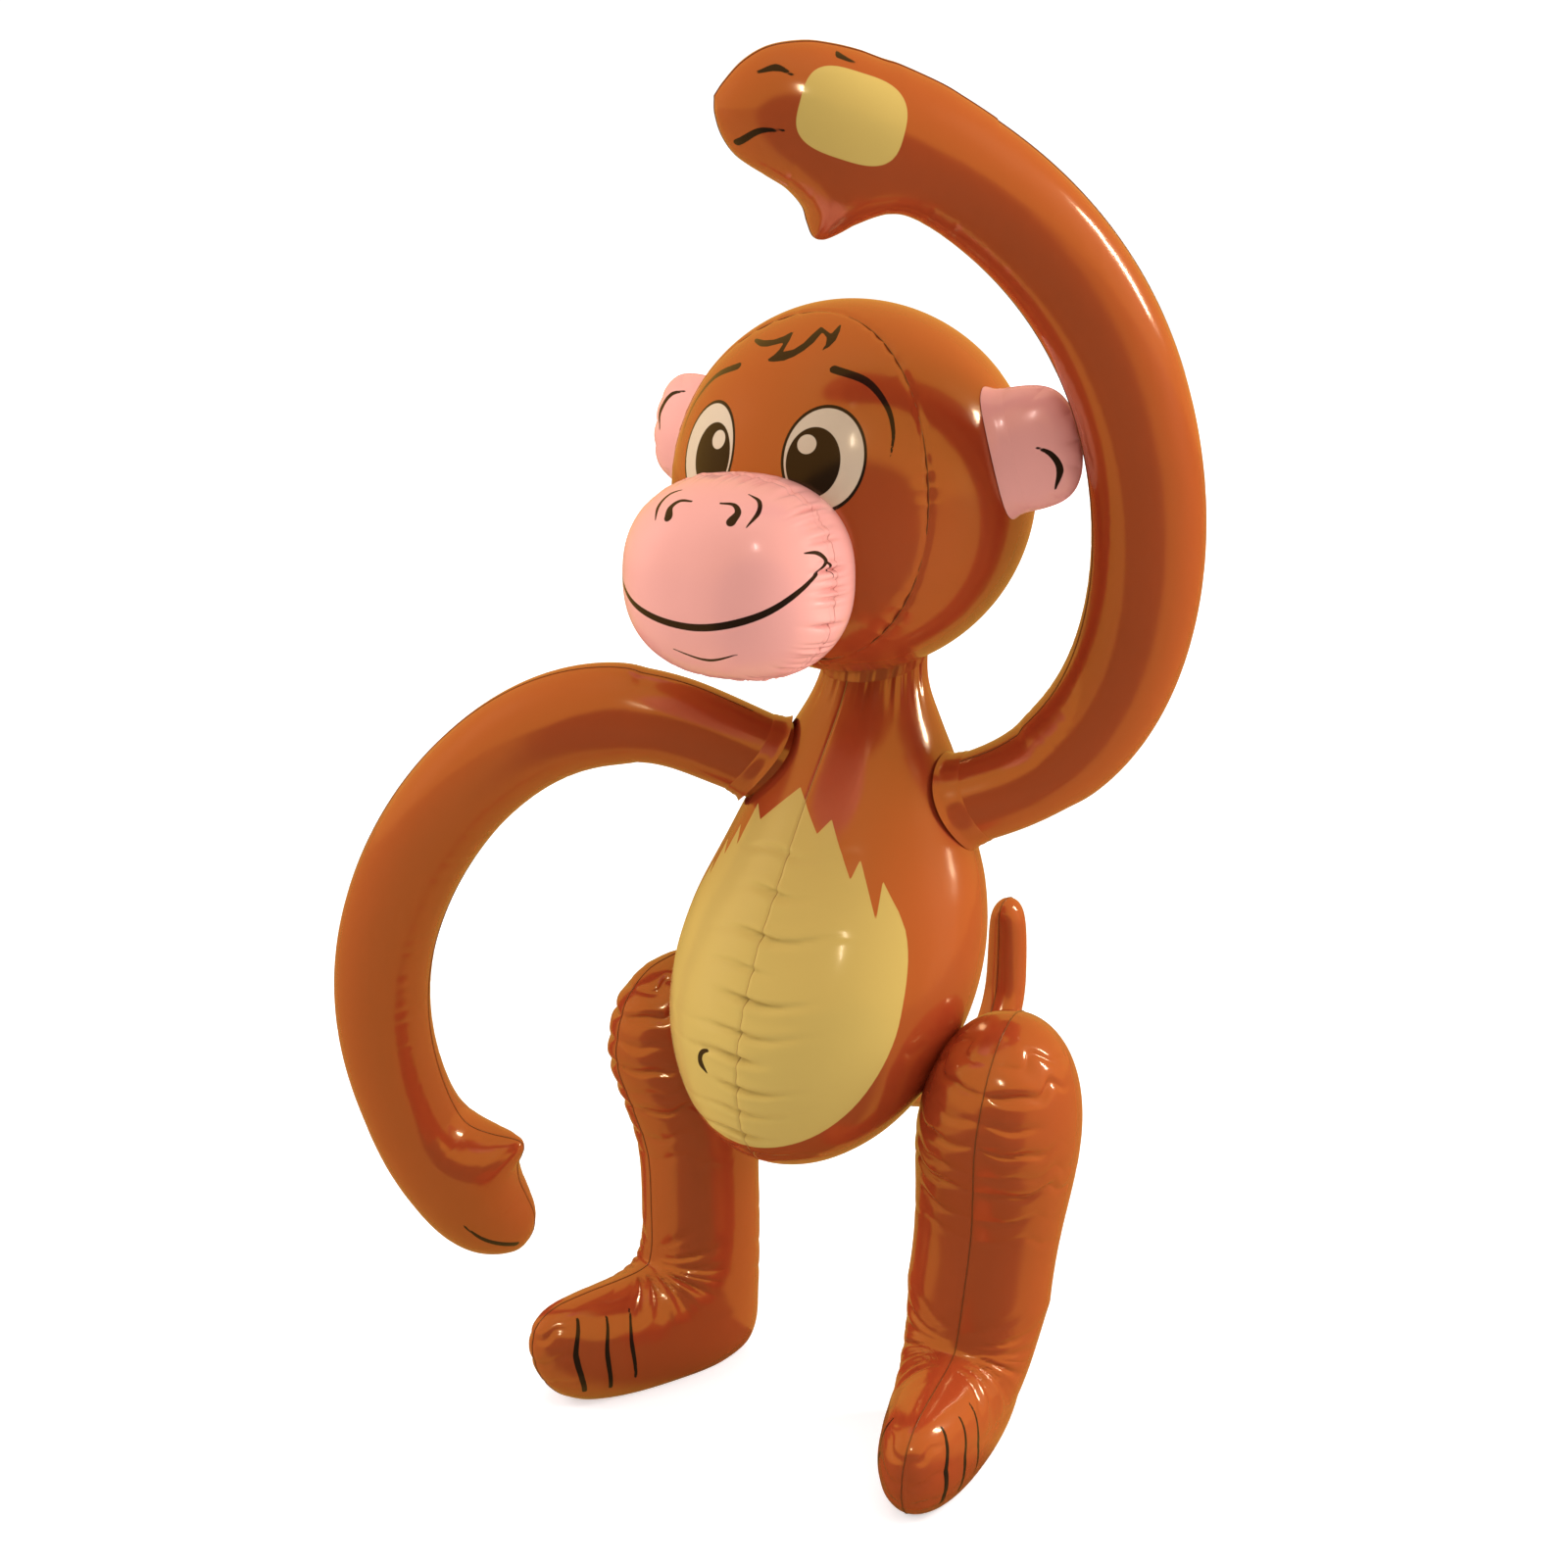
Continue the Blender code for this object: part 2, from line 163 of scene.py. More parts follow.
# %% [markdown]
# ## Air in a flat pattern
# Air pushes the two panels of a pattern apart, most in the middle and not at all at the weld.
# Cloth with pressure could do that, but it takes longer and needs its seams added afterwards.
# The level of a soap film over the pattern, square-rooted, gives the form directly: a round
# tube on a strip, and a thumb that is softer than the palm.


# %% Air in a flat pattern
FILM_TURNS = 2500
FILM_DONE = 1e-11


def film_level(flat, fixed):
    """Height of a soap film over the flat pattern, zero on its weld, by conjugate gradients."""
    rows, columns = flat.shape[:2]
    index = np.arange(rows * columns).reshape(rows, columns)
    points = flat.reshape(-1, 2)
    a, b = index[:-1, :-1].ravel(), index[1:, :-1].ravel()
    c, d = index[1:, 1:].ravel(), index[:-1, 1:].ravel()
    corners = [np.stack(t, axis=-1) for t in ((a, b, c), (a, c, d), (a, b, d), (b, c, d))]
    corners = np.concatenate(corners)
    count = len(points)
    load = np.zeros(count)
    keys, weights = [], []
    for turn in range(3):
        p, q, r = (corners[:, (turn + k) % 3] for k in range(3))
        u, v = points[q] - points[p], points[r] - points[p]
        cross = np.abs(u[:, 0] * v[:, 1] - u[:, 1] * v[:, 0])
        good = cross > 1e-14
        weight = np.where(good, np.sum(u * v, axis=1) / np.where(good, cross, 1.0), 0.0) * 0.25
        keys.append(np.minimum(q, r) * count + np.maximum(q, r))
        weights.append(weight)
        load += np.bincount(p, cross / 6.0, count)
    pairs, where = np.unique(np.concatenate(keys), return_inverse=True)
    weight = np.bincount(where, np.concatenate(weights))
    one, two = pairs // count, pairs % count
    middle = np.bincount(one, weight, count) + np.bincount(two, weight, count)
    free = ~(fixed.reshape(-1) | (middle < 1e-9))
    scale = np.where(free, 1.0 / np.where(free, middle, 1.0), 0.0)

    def pull(level):
        spread = np.bincount(one, weight * level[two], count)
        spread += np.bincount(two, weight * level[one], count)
        return (middle * level - spread) * free

    level = np.zeros(count)
    rest = load * free
    lean = scale * rest
    way = lean.copy()
    energy = rest @ lean
    first = energy
    for _ in range(FILM_TURNS):
        change = pull(way)
        share = energy / max(way @ change, 1e-30)
        level += share * way
        rest -= share * change
        lean = scale * rest
        following = rest @ lean
        if following < FILM_DONE * first:
            break
        way = lean + (following / energy) * way
        energy = following
    return np.maximum(level, 0.0).reshape(rows, columns)


def puffed(flat, open_first):
    """Half thickness of the blown-up pattern over its flat grid."""
    fixed = np.zeros(flat.shape[:2], bool)
    fixed[:, 0] = fixed[:, -1] = fixed[-1] = True
    fixed[0] |= not open_first
    return np.sqrt(film_level(flat, fixed))


# %% [markdown]
# ## Meshes from grids
# Every chamber is a grid of points. A Subdivision Surface over a coarse cage would be the usual
# way, but fine folds need their own points. So each mesh starts from Blender's own grid
# operator and its vertices are moved to the computed places. `joined` closes the front and back
# panels of a pattern into one body.


# %% Meshes from grids
MERGE = 2e-6


def grid_mesh(name, grid, wrap):
    """Mesh of a grid of points (rows, columns, 3), joined round the columns when wrap is on."""
    rows, columns = grid.shape[:2]
    work = bmesh.new()
    bmesh.ops.create_grid(work, x_segments=rows - 1, y_segments=columns - 1, size=0.5)
    work.verts.ensure_lookup_table()
    place = np.array([vert.co for vert in work.verts])
    i = np.rint((place[:, 0] + 0.5) * (rows - 1)).astype(int)
    j = np.rint((place[:, 1] + 0.5) * (columns - 1)).astype(int)
    for vert, point in zip(work.verts, grid[i, j]):
        vert.co = point
    if wrap:
        bmesh.ops.remove_doubles(work, verts=work.verts, dist=MERGE)
    bmesh.ops.recalc_face_normals(work, faces=work.faces)
    for face in work.faces:
        face.smooth = True
    mesh = bpy.data.meshes.new(name)
    work.to_mesh(mesh)
    work.free()
    item = bpy.data.objects.new(name, mesh)
    bpy.context.scene.collection.objects.link(item)
    return item


def joined(name, first, second):
    """One closed mesh of two grids whose rims coincide, its open root filled with a face."""
    one, two = grid_mesh(name, first, False), grid_mesh(name + "_b", second, False)
    work = bmesh.new()
    work.from_mesh(one.data)
    work.from_mesh(two.data)
    bmesh.ops.remove_doubles(work, verts=work.verts, dist=MERGE)
    rim = [edge for edge in work.edges if edge.is_boundary]
    bmesh.ops.holes_fill(work, edges=rim, sides=0)
    bmesh.ops.recalc_face_normals(work, faces=work.faces)
    work.to_mesh(one.data)
    work.free()
    bpy.data.objects.remove(two, do_unlink=True)
    return one


def points_of(item):
    values = np.empty(len(item.data.vertices) * 3, np.float32)
    item.data.vertices.foreach_get("co", values)
    return values.reshape(-1, 3).astype(float)


def keep_value(item, name, values):
    """Stores one number per vertex for the material to read."""
    layer = item.data.attributes.new(name, "FLOAT", "POINT")
    layer.data.foreach_set("value", np.asarray(values, np.float32))


def tell(*items):
    """Prints the faces and the size in millimetres of finished meshes."""
    for item in items:
        size = np.ptp(points_of(item), axis=0) / MM
        print(item.name, len(item.data.polygons), "faces,", size.round(1), "mm")


# %% [markdown]
# ## Welds, folds and skirts
# A weld is a thin bead, a fold is a sharp valley between two soft rolls, and a skirt is the
# narrow collar where the film of a limb is welded to the body. A bevelled curve or a sculpted
# stroke could make them. Here they follow the very points of the chamber, so they stay on it
# when its sizes change.


# %% Welds, folds and skirts
def tube(name, path, radius, closed=False, sides=8):
    """Thin round bead along a path of points, such as a weld."""
    path = np.asarray(path, float)
    if closed:
        step = np.roll(path, -1, axis=0) - np.roll(path, 1, axis=0)
    else:
        step = np.gradient(path, axis=0)
    step /= np.maximum(np.linalg.norm(step, axis=1), 1e-9)[:, None]
    lift = np.array((0.31, 0.17, 0.93))
    first = np.cross(step, lift)
    first /= np.maximum(np.linalg.norm(first, axis=1), 1e-9)[:, None]
    second = np.cross(step, first)
    angle = np.linspace(0.0, 2 * math.pi, sides + 1)
    size = np.broadcast_to(np.asarray(radius, float), (len(path),))[:, None, None]
    round_part = first[:, None, :] * np.cos(angle)[None, :, None]
    round_part = round_part + second[:, None, :] * np.sin(angle)[None, :, None]
    grid = path[:, None, :] + size * round_part
    if closed:
        grid = np.concatenate([grid, grid[:1]])
    return grid_mesh(name, grid, True)


def crease(run, places, depth, width):
    """Folds at the places along a run, each a sharp valley between two soft rolls."""
    total = np.zeros(np.shape(run))
    for place, strength in places:
        gap = (run - place) / width
        valley, rolls = np.exp(-np.abs(gap) ** 1.3), np.exp(-((gap / 2.2) ** 2))
        total += depth * strength * (valley - 0.5 * rolls)
    return total


def outside_torso(points):
    """Distance of points from the torso's side, negative inside it."""
    z = points[..., 2]
    axis_y = NECK_TOP[1] - (NECK_TOP[2] - z) * TORSO_LEAN
    return np.hypot(points[..., 0], points[..., 1] - axis_y) - torso_radius(z)


def outside_head(points):
    scaled = (points - HEAD_CENTRE) / np.array((1.0, 1.0, HEAD_TALL))
    return np.linalg.norm(scaled, axis=-1) - HEAD_RADIUS


def leaving_ring(lines, outside, distance):
    """Where lines of points reach a given distance outside another chamber."""
    ring = []
    for line in lines:
        far = outside(line) - distance
        row = int(np.argmax(far > 0))
        if row == 0:
            ring.append(line[0])
            continue
        share = far[row - 1] / (far[row - 1] - far[row])
        ring.append(line[row - 1] + share * (line[row] - line[row - 1]))
    return np.array(ring)


def round_lines(front, back):
    """The lines that run along a limb, in order once round it."""
    columns = front.shape[1]
    lines = [front[:, column] for column in range(columns)]
    return lines + [back[:, column] for column in range(columns - 2, 0, -1)]


def flange(name, lines, outside, steps):
    """Welded skirt round a root: pairs of distance outside and swell away from the limb."""
    rings = []
    for distance, swell in steps:
        ring = leaving_ring(lines, outside, distance)
        away = ring - ring.mean(axis=0)
        away /= np.linalg.norm(away, axis=1)[:, None]
        rings.append(ring + swell * away)
    grid = np.array(rings)
    grid = np.concatenate([grid, grid[:, :1]], axis=1)
    return grid_mesh(name, grid, True)


# %% [markdown]
# ## The torso
# The body is a leaning pear with a weld down its belly. The film folds across that weld in
# short creases, because a flat panel has to bend there. A sphere could be scaled and sculpted
# into it. A profile spun round an axis was chosen because a table of heights and radii is easy
# to read off the photo, and its columns can crowd together at the front, where the print is.


# %% Torso
TORSO_PROFILE = (
    (0.372, 0.0230),
    (0.352, 0.0240),
    (0.338, 0.0275),
    (0.320, 0.0365),
    (0.300, 0.0470),
    (0.274, 0.0575),
    (0.248, 0.0675),
    (0.222, 0.0718),
    (0.197, 0.0695),
    (0.173, 0.0605),
    (0.155, 0.0480),
    (0.143, 0.0335),
    (0.136, 0.0185),
    (0.133, 0.0),
)
BELLY_FOLD_SIZE, BACK_FOLD_SIZE = (0.0062, 0.0019), (0.0016, 0.0030)
BELLY_FOLDS = (
    (0.283, 0.5),
    (0.268, 0.8),
    (0.252, 1.0),
    (0.239, 0.6),
    (0.227, 1.2),
    (0.213, 0.8),
    (0.202, 1.1),
    (0.188, 0.9),
    (0.176, 0.6),
    (0.163, 0.9),
    (0.151, 0.5),
)


def torso_radius(height):
    path = smooth_path(TORSO_PROFILE, 400)[::-1]
    return np.interp(height, path[:, 0], path[:, 1])


def torso_grid(rows=246, columns=401):
    profile = smooth_path(TORSO_PROFILE, rows)
    angle = np.linspace(-math.pi, math.pi, columns)
    angle = angle - 0.35 * np.sin(angle)
    height = profile[:, 0][:, None]
    radius = profile[:, 1][:, None]
    away_front = np.abs(angle)[None, :] * np.maximum(radius, 0.01)
    away_back = (math.pi - np.abs(angle))[None, :] * np.maximum(radius, 0.01)
    wobble = 0.0012 * np.sin(9.0 * angle)[None, :]
    fold = crease(height + wobble, BELLY_FOLDS, *BELLY_FOLD_SIZE)
    back_folds = [(z - 0.006, s * 0.8) for z, s in BELLY_FOLDS]
    back = crease(height - wobble, back_folds, *BACK_FOLD_SIZE)
    side_span = 0.015 * (1.0 + 0.45 * np.sin(170.0 * height + 2.0 * np.sign(angle)[None, :]))
    dent = fold * np.exp(-((away_front / side_span) ** 1.6))
    dent += back * np.exp(-((away_back / 0.012) ** 1.6))
    dent += 0.0005 * np.exp(-((away_front / 0.0008) ** 2))
    dent += 0.0006 * np.exp(-((away_back / 0.0016) ** 2))
    neck = np.exp(-(((height - 0.352) / 0.012) ** 2))
    pleats = np.sin(17.0 * angle) + 0.6 * np.sin(29.0 * angle + 1.0)
    dent += 0.0006 * neck * np.clip(pleats, -0.4, 1.4)
    keep = np.clip(radius / 0.03, 0.0, 1.0)
    size = radius - dent * keep
    lean = (NECK_TOP[2] - height) * TORSO_LEAN
    front = size * np.cos(angle)[None, :]
    x = size * np.sin(angle)[None, :]
    return np.stack([x, NECK_TOP[1] - lean - front, height - front * TORSO_LEAN * 0.5], axis=-1)


torso_points = torso_grid()
front_column = torso_points.shape[1] // 2
torso = grid_mesh("torso_skin", torso_points + SHIFT, True)
belly_weld = tube("belly_weld", torso_points[8:-3, front_column] + SHIFT, 0.6 * WELD_RADIUS)
back_weld = tube("back_weld", torso_points[8:-3, 0] + SHIFT, WELD_RADIUS)
tell(torso)

# %% [markdown]
# ## The head
# The head is a near sphere. Its face panel is welded on along an oval that lies farther back
# over the forehead than at the cheeks, and the film gathers in small folds along that weld. A
# UV sphere could be pushed in along the weld. This one is spun about the nose instead of the
# crown, so its rings run alongside the weld and the gathers fall between them.


# %% Head
HEAD_BACK = 1.04
FACE_SIDE, FACE_TOP, FACE_LOW = 0.0770, 0.1000, 0.0880


def face_rim(turn):
    """Distance of the face weld from the nose over the head, at a turn round the face."""
    up = np.sin(turn)
    tall = np.where(up > 0, FACE_TOP, FACE_LOW)
    return 1.0 / np.sqrt((np.cos(turn) / FACE_SIDE) ** 2 + (up / tall) ** 2)


def head_grid(rows=246, columns=401):
    crowd = 0.096 * np.sin(np.linspace(0.0, 2 * math.pi, rows))
    polar = np.linspace(0.0, 1.0, rows) - crowd
    polar = math.pi * polar[:, None]
    turn = np.linspace(0.0, 2 * math.pi, columns)[None, :]
    forward = np.cos(polar) * np.ones_like(turn)
    out = np.abs(np.sin(polar)) ** np.where(forward < 0, 0.90, 1.0)
    reach = np.where(forward < 0, HEAD_BACK, HEAD_FRONT)
    off = polar * HEAD_RADIUS - face_rim(turn)
    low = np.clip(-np.sin(turn + 0.35), 0.0, 1.0) ** 2
    gather = np.abs(np.sin(27.0 * turn + 0.8 * np.sin(5.0 * turn))) ** 0.7
    gather = gather * (0.5 + 0.5 * np.sin(7.0 * turn + 0.6))
    dent = 0.0006 * np.exp(-((off / 0.0012) ** 2))
    dent += (0.0008 + 0.0008 * low) * gather * np.exp(-np.abs(off / (0.0040 + 0.004 * low)) ** 1.5)
    radius = HEAD_RADIUS - dent
    x = radius * out * np.cos(turn)
    y = -radius * reach * forward
    z = radius * out * np.sin(turn) * HEAD_TALL
    return np.stack([x, y, z], axis=-1) + HEAD_CENTRE


def head_point(u, v, lift=0.0):
    """Point on the head at face coordinates u to the side and v up, over the surface."""
    reach = np.hypot(u, v)
    polar = reach / HEAD_RADIUS
    radius = HEAD_RADIUS + lift
    out = np.sin(polar) / np.maximum(reach, 1e-9)
    return np.stack(
        [
            radius * out * u,
            -radius * HEAD_FRONT * np.cos(polar),
            radius * out * v * HEAD_TALL,
        ],
        axis=-1,
    ) + HEAD_CENTRE


head = grid_mesh("head_skin", head_grid() + SHIFT, True)
rim_turn = np.linspace(0.0, 2 * math.pi, 240, endpoint=False)
rim_reach = face_rim(rim_turn)
rim_path = head_point(rim_reach * np.cos(rim_turn), rim_reach * np.sin(rim_turn), -0.0008)
neck_lines = [torso_points[::-1, column] for column in range(torso_points.shape[1] - 1)]
neck_ring = flange(
    "neck_ring",
    [line[len(line) // 2 :] for line in neck_lines],
    lambda points: -outside_head(points),
    ((-0.0050, 0.0002), (-0.0036, 0.0008), (-0.0012, 0.0012), (0.0006, 0.0022)),
)
for point in neck_ring.data.vertices:
    point.co += Vector(SHIFT)
face_weld = tube("face_weld", rim_path + SHIFT, WELD_RADIUS, closed=True)
tell(head, neck_ring)

# %% [markdown]
# ## The muzzle
# The muzzle is a pillow with a rounded front, and its rim puckers all round where the front
# panel meets the side band. Cloth with pressure gives such puckers by chance. Here they are
# written as waves round the rim, so that the deep ones lie where the photo shows them.


# %% Muzzle
MUZZLE_CENTRE = np.array((0.0, -0.055, 0.4035))
MUZZLE_HALF = np.array((0.0505, 0.0415, 0.0435))
MUZZLE_SQUARE = 2.35
RIM_TURN, RIM_WIDTH = 1.44, 0.23
PUCKER_DEPTH, SEAM_DEPTH = 0.052, 0.010


def dome_uv(points, centre, half):
    """Coordinates over a domed front, near true lengths: side and up from its middle."""
    n = (points - centre) / half
    reach = np.hypot(n[:, 0], n[:, 2])
    polar = np.arctan2(reach, -n[:, 1])
    scale = polar / np.maximum(reach, 1e-9)
    return np.stack([scale * n[:, 0] * half[0], scale * n[:, 2] * half[2]], axis=-1)


def muzzle_grid(rows=206, columns=481):
    polar = np.linspace(0.0, 1.0, rows)
    polar = math.pi * (polar - 0.045 * np.sin(2 * math.pi * polar))[:, None]
    turn = np.linspace(0.0, 2 * math.pi, columns)[None, :]
    forward, out = np.cos(polar), np.sin(polar)
    forward = np.copysign(np.abs(forward) ** 1.05, forward)
    out = np.abs(out) ** 0.80
    sway = turn + 0.05 * np.sin(9.0 * turn) + 0.03 * np.sin(23.0 * turn + 2.0)
    folds = 1.0 - np.abs(np.sin(16.0 * sway)) ** 0.7
    folds += 0.6 * (1.0 - np.abs(np.sin(27.0 * sway + 0.9)) ** 0.6)
    where = 0.45 + 0.75 * np.exp(-(((np.mod(turn + 0.6, 2 * math.pi) - 0.6) / 0.85) ** 2))
    where += 0.35 * np.exp(-(((np.mod(turn, 2 * math.pi) - 5.0) / 0.7) ** 2))
    rim = np.exp(-np.abs((polar - RIM_TURN) / RIM_WIDTH) ** 2.2)
    seam = np.exp(-(((polar - 1.47) / 0.02) ** 2))
    across_power, up_power = (np.abs(f(turn)) ** MUZZLE_SQUARE for f in (np.cos, np.sin))
    square = (across_power + up_power) ** (-1 / MUZZLE_SQUARE)
    size = square * (1.0 - PUCKER_DEPTH * folds * where * rim - SEAM_DEPTH * seam)
    x = MUZZLE_HALF[0] * out * size * np.cos(turn)
    y = -MUZZLE_HALF[1] * forward * np.ones_like(turn)
    z = MUZZLE_HALF[2] * out * size * np.sin(turn)
    return np.stack([x, y, z], axis=-1) + MUZZLE_CENTRE


MUZZLE_SEAM_ROW = 100
muzzle_points = muzzle_grid()
muzzle = grid_mesh("muzzle_skin", muzzle_points + SHIFT, True)
seam_path = muzzle_points[MUZZLE_SEAM_ROW, :-1]
muzzle_weld = tube("muzzle_weld", seam_path + SHIFT, WELD_RADIUS, closed=True)
tell(muzzle)


# %% [markdown]
# ## The arm pattern
# Both arms are cut from one pattern, bent the same way, and welded on at different angles. A
# mirrored pair of tubes with hands added would be the usual start. One flat pattern with the
# hand and thumb in its edge was chosen, because that is how the real arm is made.


# %% The arm pattern
ARM_LENGTH = 0.461
HAND_REACH = 0.121
ARM_ROWS, ARM_COLUMNS = 400, 57
ARM_TURN = (
    (-0.040, 0.0),
    (0.010, 0.0),
    (0.030, 10.0),
    (0.090, 50.0),
    (0.147, 71.5),
    (0.245, 96.0),
    (0.348, 126.5),
    (0.403, 141.0),
    (0.461, 148.0),
)
ARM_EDGES = (
    (-0.040, 0.0195, 0.0195),
    (0.000, 0.0205, 0.0205),
    (0.040, 0.0215, 0.0215),
    (0.080, 0.0245, 0.0245),
    (0.330, 0.0240, 0.0240),
    (0.358, 0.0245, 0.0240),
    (0.372, 0.0250, 0.0250),
    (0.380, 0.0255, 0.0285),
    (0.388, 0.0255, 0.0360),
    (0.394, 0.0255, 0.0432),
    (0.399, 0.0255, 0.0475),
    (0.404, 0.0250, 0.0475),
    (0.409, 0.0250, 0.0430),
    (0.414, 0.0250, 0.0375),
    (0.424, 0.0240, 0.0325),
    (0.434, 0.0220, 0.0300),
    (0.446, 0.0165, 0.0265),
    (0.454, 0.0085, 0.0205),
    (0.459, -0.0010, 0.0130),
    (0.461, -0.0065, 0.0065),
)
EAR_TIP_OUT = EAR_PLACE[0] + 0.934 * EAR_REACH
RAISED_SHOULDER_OUT = EAR_TIP_OUT - 0.0605
ARM_POSE = {
    "arm_right": ((-0.0528, 0.0160, 0.3136), 23.3, -16.8, 155.6),
    "arm_left": ((RAISED_SHOULDER_OUT, 0.0527, 0.2906), 39.9, -18.3, 18.9),
}


def arm_pattern(rows, columns):
    """Flat arm with its hand and thumb; the rows crowd together over the printed hand."""
    root = ARM_EDGES[0][0]
    hand_rows = int(0.48 * rows)
    even = np.linspace(root, ARM_LENGTH - HAND_REACH, rows - hand_rows, endpoint=False)
    ease = np.linspace(0.0, 1.0, hand_rows)
    ease = 0.75 * np.sin(0.5 * math.pi * ease) + 0.25 * ease
    at = np.r_[even, ARM_LENGTH - HAND_REACH * (1.0 - ease)]
    fine = np.linspace(root, ARM_LENGTH, 2041)
    turn = np.radians(edge_curve(ARM_TURN, fine)[0])
    x = np.r_[0.0, np.cumsum(np.cos(turn[:-1]) * np.diff(fine))]
    y = np.r_[0.0, np.cumsum(np.sin(turn[:-1]) * np.diff(fine))]
    x -= np.interp(0.0, fine, x)
    path = np.stack([np.interp(at, fine, x), np.interp(at, fine, y)], axis=-1)
    outline = smooth_path(ARM_EDGES, 1100)
    outer, inner = (np.interp(at, outline[:, 0], outline[:, k]) for k in (1, 2))
    return at, ribbon(path, outer, inner, columns)


def limb_frame(start, azimuth, elevation, heading):
    az, el = math.radians(azimuth), math.radians(elevation)
    normal = Vector((math.sin(az) * math.cos(el), -math.cos(az) * math.cos(el), math.sin(el)))
    level = Vector((0, 0, 1)).cross(normal).normalized()
    rise = normal.cross(level)
    begin = math.radians(heading)
    right = level * math.cos(begin) + rise * math.sin(begin)
    return [np.array(v) for v in (start, right, normal.cross(right), normal)]


def panels(flat, height, where):
    """Front and back point grids of a blown-up pattern."""
    start, right, up, normal = where
    base = start + flat[..., :1] * right + flat[..., 1:] * up
    lift = height[..., None] * normal
    return base + lift, base - lift


def weld_edge(grid, trim=0):
    """The weld round a pattern: along one edge, round the tip and back."""
    return np.concatenate([grid[trim:, 0], grid[-1:, :].mean(axis=1), grid[trim:, -1][::-1]])


# %% [markdown]
# ## The arms
# The film wrinkles along the inner side of each bend. The folds could be sculpted one by one.
# Here a seeded random draw spreads them along the arm, so that the two arms differ but come
# out the same on every run.

# %% The arms
INNER_FOLD_SIZE, OUTER_FOLD_SIZE = (0.0011, 0.0019), (0.0006, 0.0024)
ARM_WELD_START = 20
ARM_ROOT_STEPS = (
    (0.0100, 0.0000),
    (0.0087, 0.0005),
    (0.0070, 0.0006),
    (0.0052, 0.0011),
    (0.0034, 0.0012),
    (0.0018, 0.0020),
    (0.0002, 0.0032),
)
arms = {}
arm_run, arm_flat = arm_pattern(ARM_ROWS, ARM_COLUMNS)
arm_side = across(ARM_COLUMNS)[None, :]
arm_height = puffed(arm_flat, True)
for arm_name, pose in ARM_POSE.items():
    rng = np.random.default_rng(7 if arm_name == "arm_left" else 9)
    spots = np.arange(0.045, 0.450, 0.0125)
    spots = spots + rng.uniform(-0.004, 0.004, len(spots))
    folds = list(zip(spots, rng.uniform(0.1, 1.0, len(spots))))
    run = arm_run[:, None]
    slant = 0.006 * arm_side
    inner = np.clip((arm_side - 0.45) / 0.55, 0.0, 1.0) ** 0.8
    outer = np.clip((-arm_side - 0.75) / 0.25, 0.0, 1.0)
    dent = crease(run + slant, folds, *INNER_FOLD_SIZE) * inner
    dent += crease(run - slant, folds[::3], *OUTER_FOLD_SIZE) * outer
    height = np.maximum(arm_height - dent * np.clip(arm_height / 0.005, 0, 1), 0.0)
    where = limb_frame(*pose)
    front, back = panels(arm_flat, height, where)
    body = joined(arm_name + "_skin", front + SHIFT, back + SHIFT)
    local = points_of(body) - SHIFT - where[0]
    arms[arm_name] = (body, local @ where[1], local @ where[2], local @ where[3])
    edge = weld_edge(front, ARM_WELD_START)
    edge = edge[outside_torso(edge) > ROOT_CLEAR]
    arms[arm_name + "_weld"] = tube(arm_name + "_weld", edge + SHIFT, WELD_RADIUS)
    lines = [line + SHIFT for line in round_lines(front, back)]
    arms[arm_name + "_flange"] = flange(
        arm_name + "_flange", lines, lambda points: outside_torso(points - SHIFT), ARM_ROOT_STEPS
    )
    tell(body)


# %% [markdown]
# ## The leg pattern
# One boot-shaped pattern serves both legs, and its edges are tied to the sizes of ankle, thigh
# and foot. A box with loop cuts could be pulled into a boot. The flat pattern was kept here
# too, because it gives the round toe and the narrow ankle without any modelling.


# %% The leg pattern
FOOT_FULLNESS = 0.80
ANKLE_HALF = 0.0292
THIGH_HALF = 0.0405
THIGH_FORWARD = 0.005
TOE_REACH = 0.098
FOOT_HEIGHT = 0.049
LEG_HEIGHT = 0.2093
LEG_SAMPLES = 1200
LEG_STANCE = {
    "leg_right": (-1, (-0.0725, 0.0190), 20.0, 1.5, 0.93),
    "leg_left": (1, (0.0725, 0.0180), 12.5, 6.3, 1.08),
}


def leg_edges():
    a, thigh, lean_in, toe = ANKLE_HALF, THIGH_HALF, THIGH_FORWARD, TOE_REACH
    foot, top = FOOT_HEIGHT, LEG_HEIGHT
    knee = 0.5 * (a + thigh)
    rows = [
        (-0.007, 0.006, toe - 0.050),
        (-0.004, -0.008, toe - 0.034),
        (0.000, 0.008 - a, toe - 0.022),
        (0.006, 0.003 - a, toe - 0.012),
        (0.016, -a, toe - 0.004),
        (0.028, -a, toe),
        (foot - 0.010, -a, toe - 0.001),
        (foot - 0.004, -a, toe - 0.006),
        (foot, -a, toe - 0.015),
        (foot + 0.002, -a, toe - 0.030),
        (foot + 0.005, -a, a + 0.008),
        (foot + 0.012, -a, a + 0.001),
        (0.085, -a, a),
        (0.112, -a, a + 0.001),
        (0.135, 0.5 * lean_in - knee, 0.5 * lean_in + knee),
        (0.158, lean_in - thigh, lean_in + thigh),
    ]
    for drop, share in ((0.036, 1.0), (0.018, 0.85), (0.006, 0.55), (0.001, 0.2), (0.0, 0.03)):
        rows.append((top - drop, lean_in - share * thigh, lean_in + share * thigh))
    return np.array(rows)


LEG_OUTLINE = smooth_path(leg_edges(), LEG_SAMPLES)


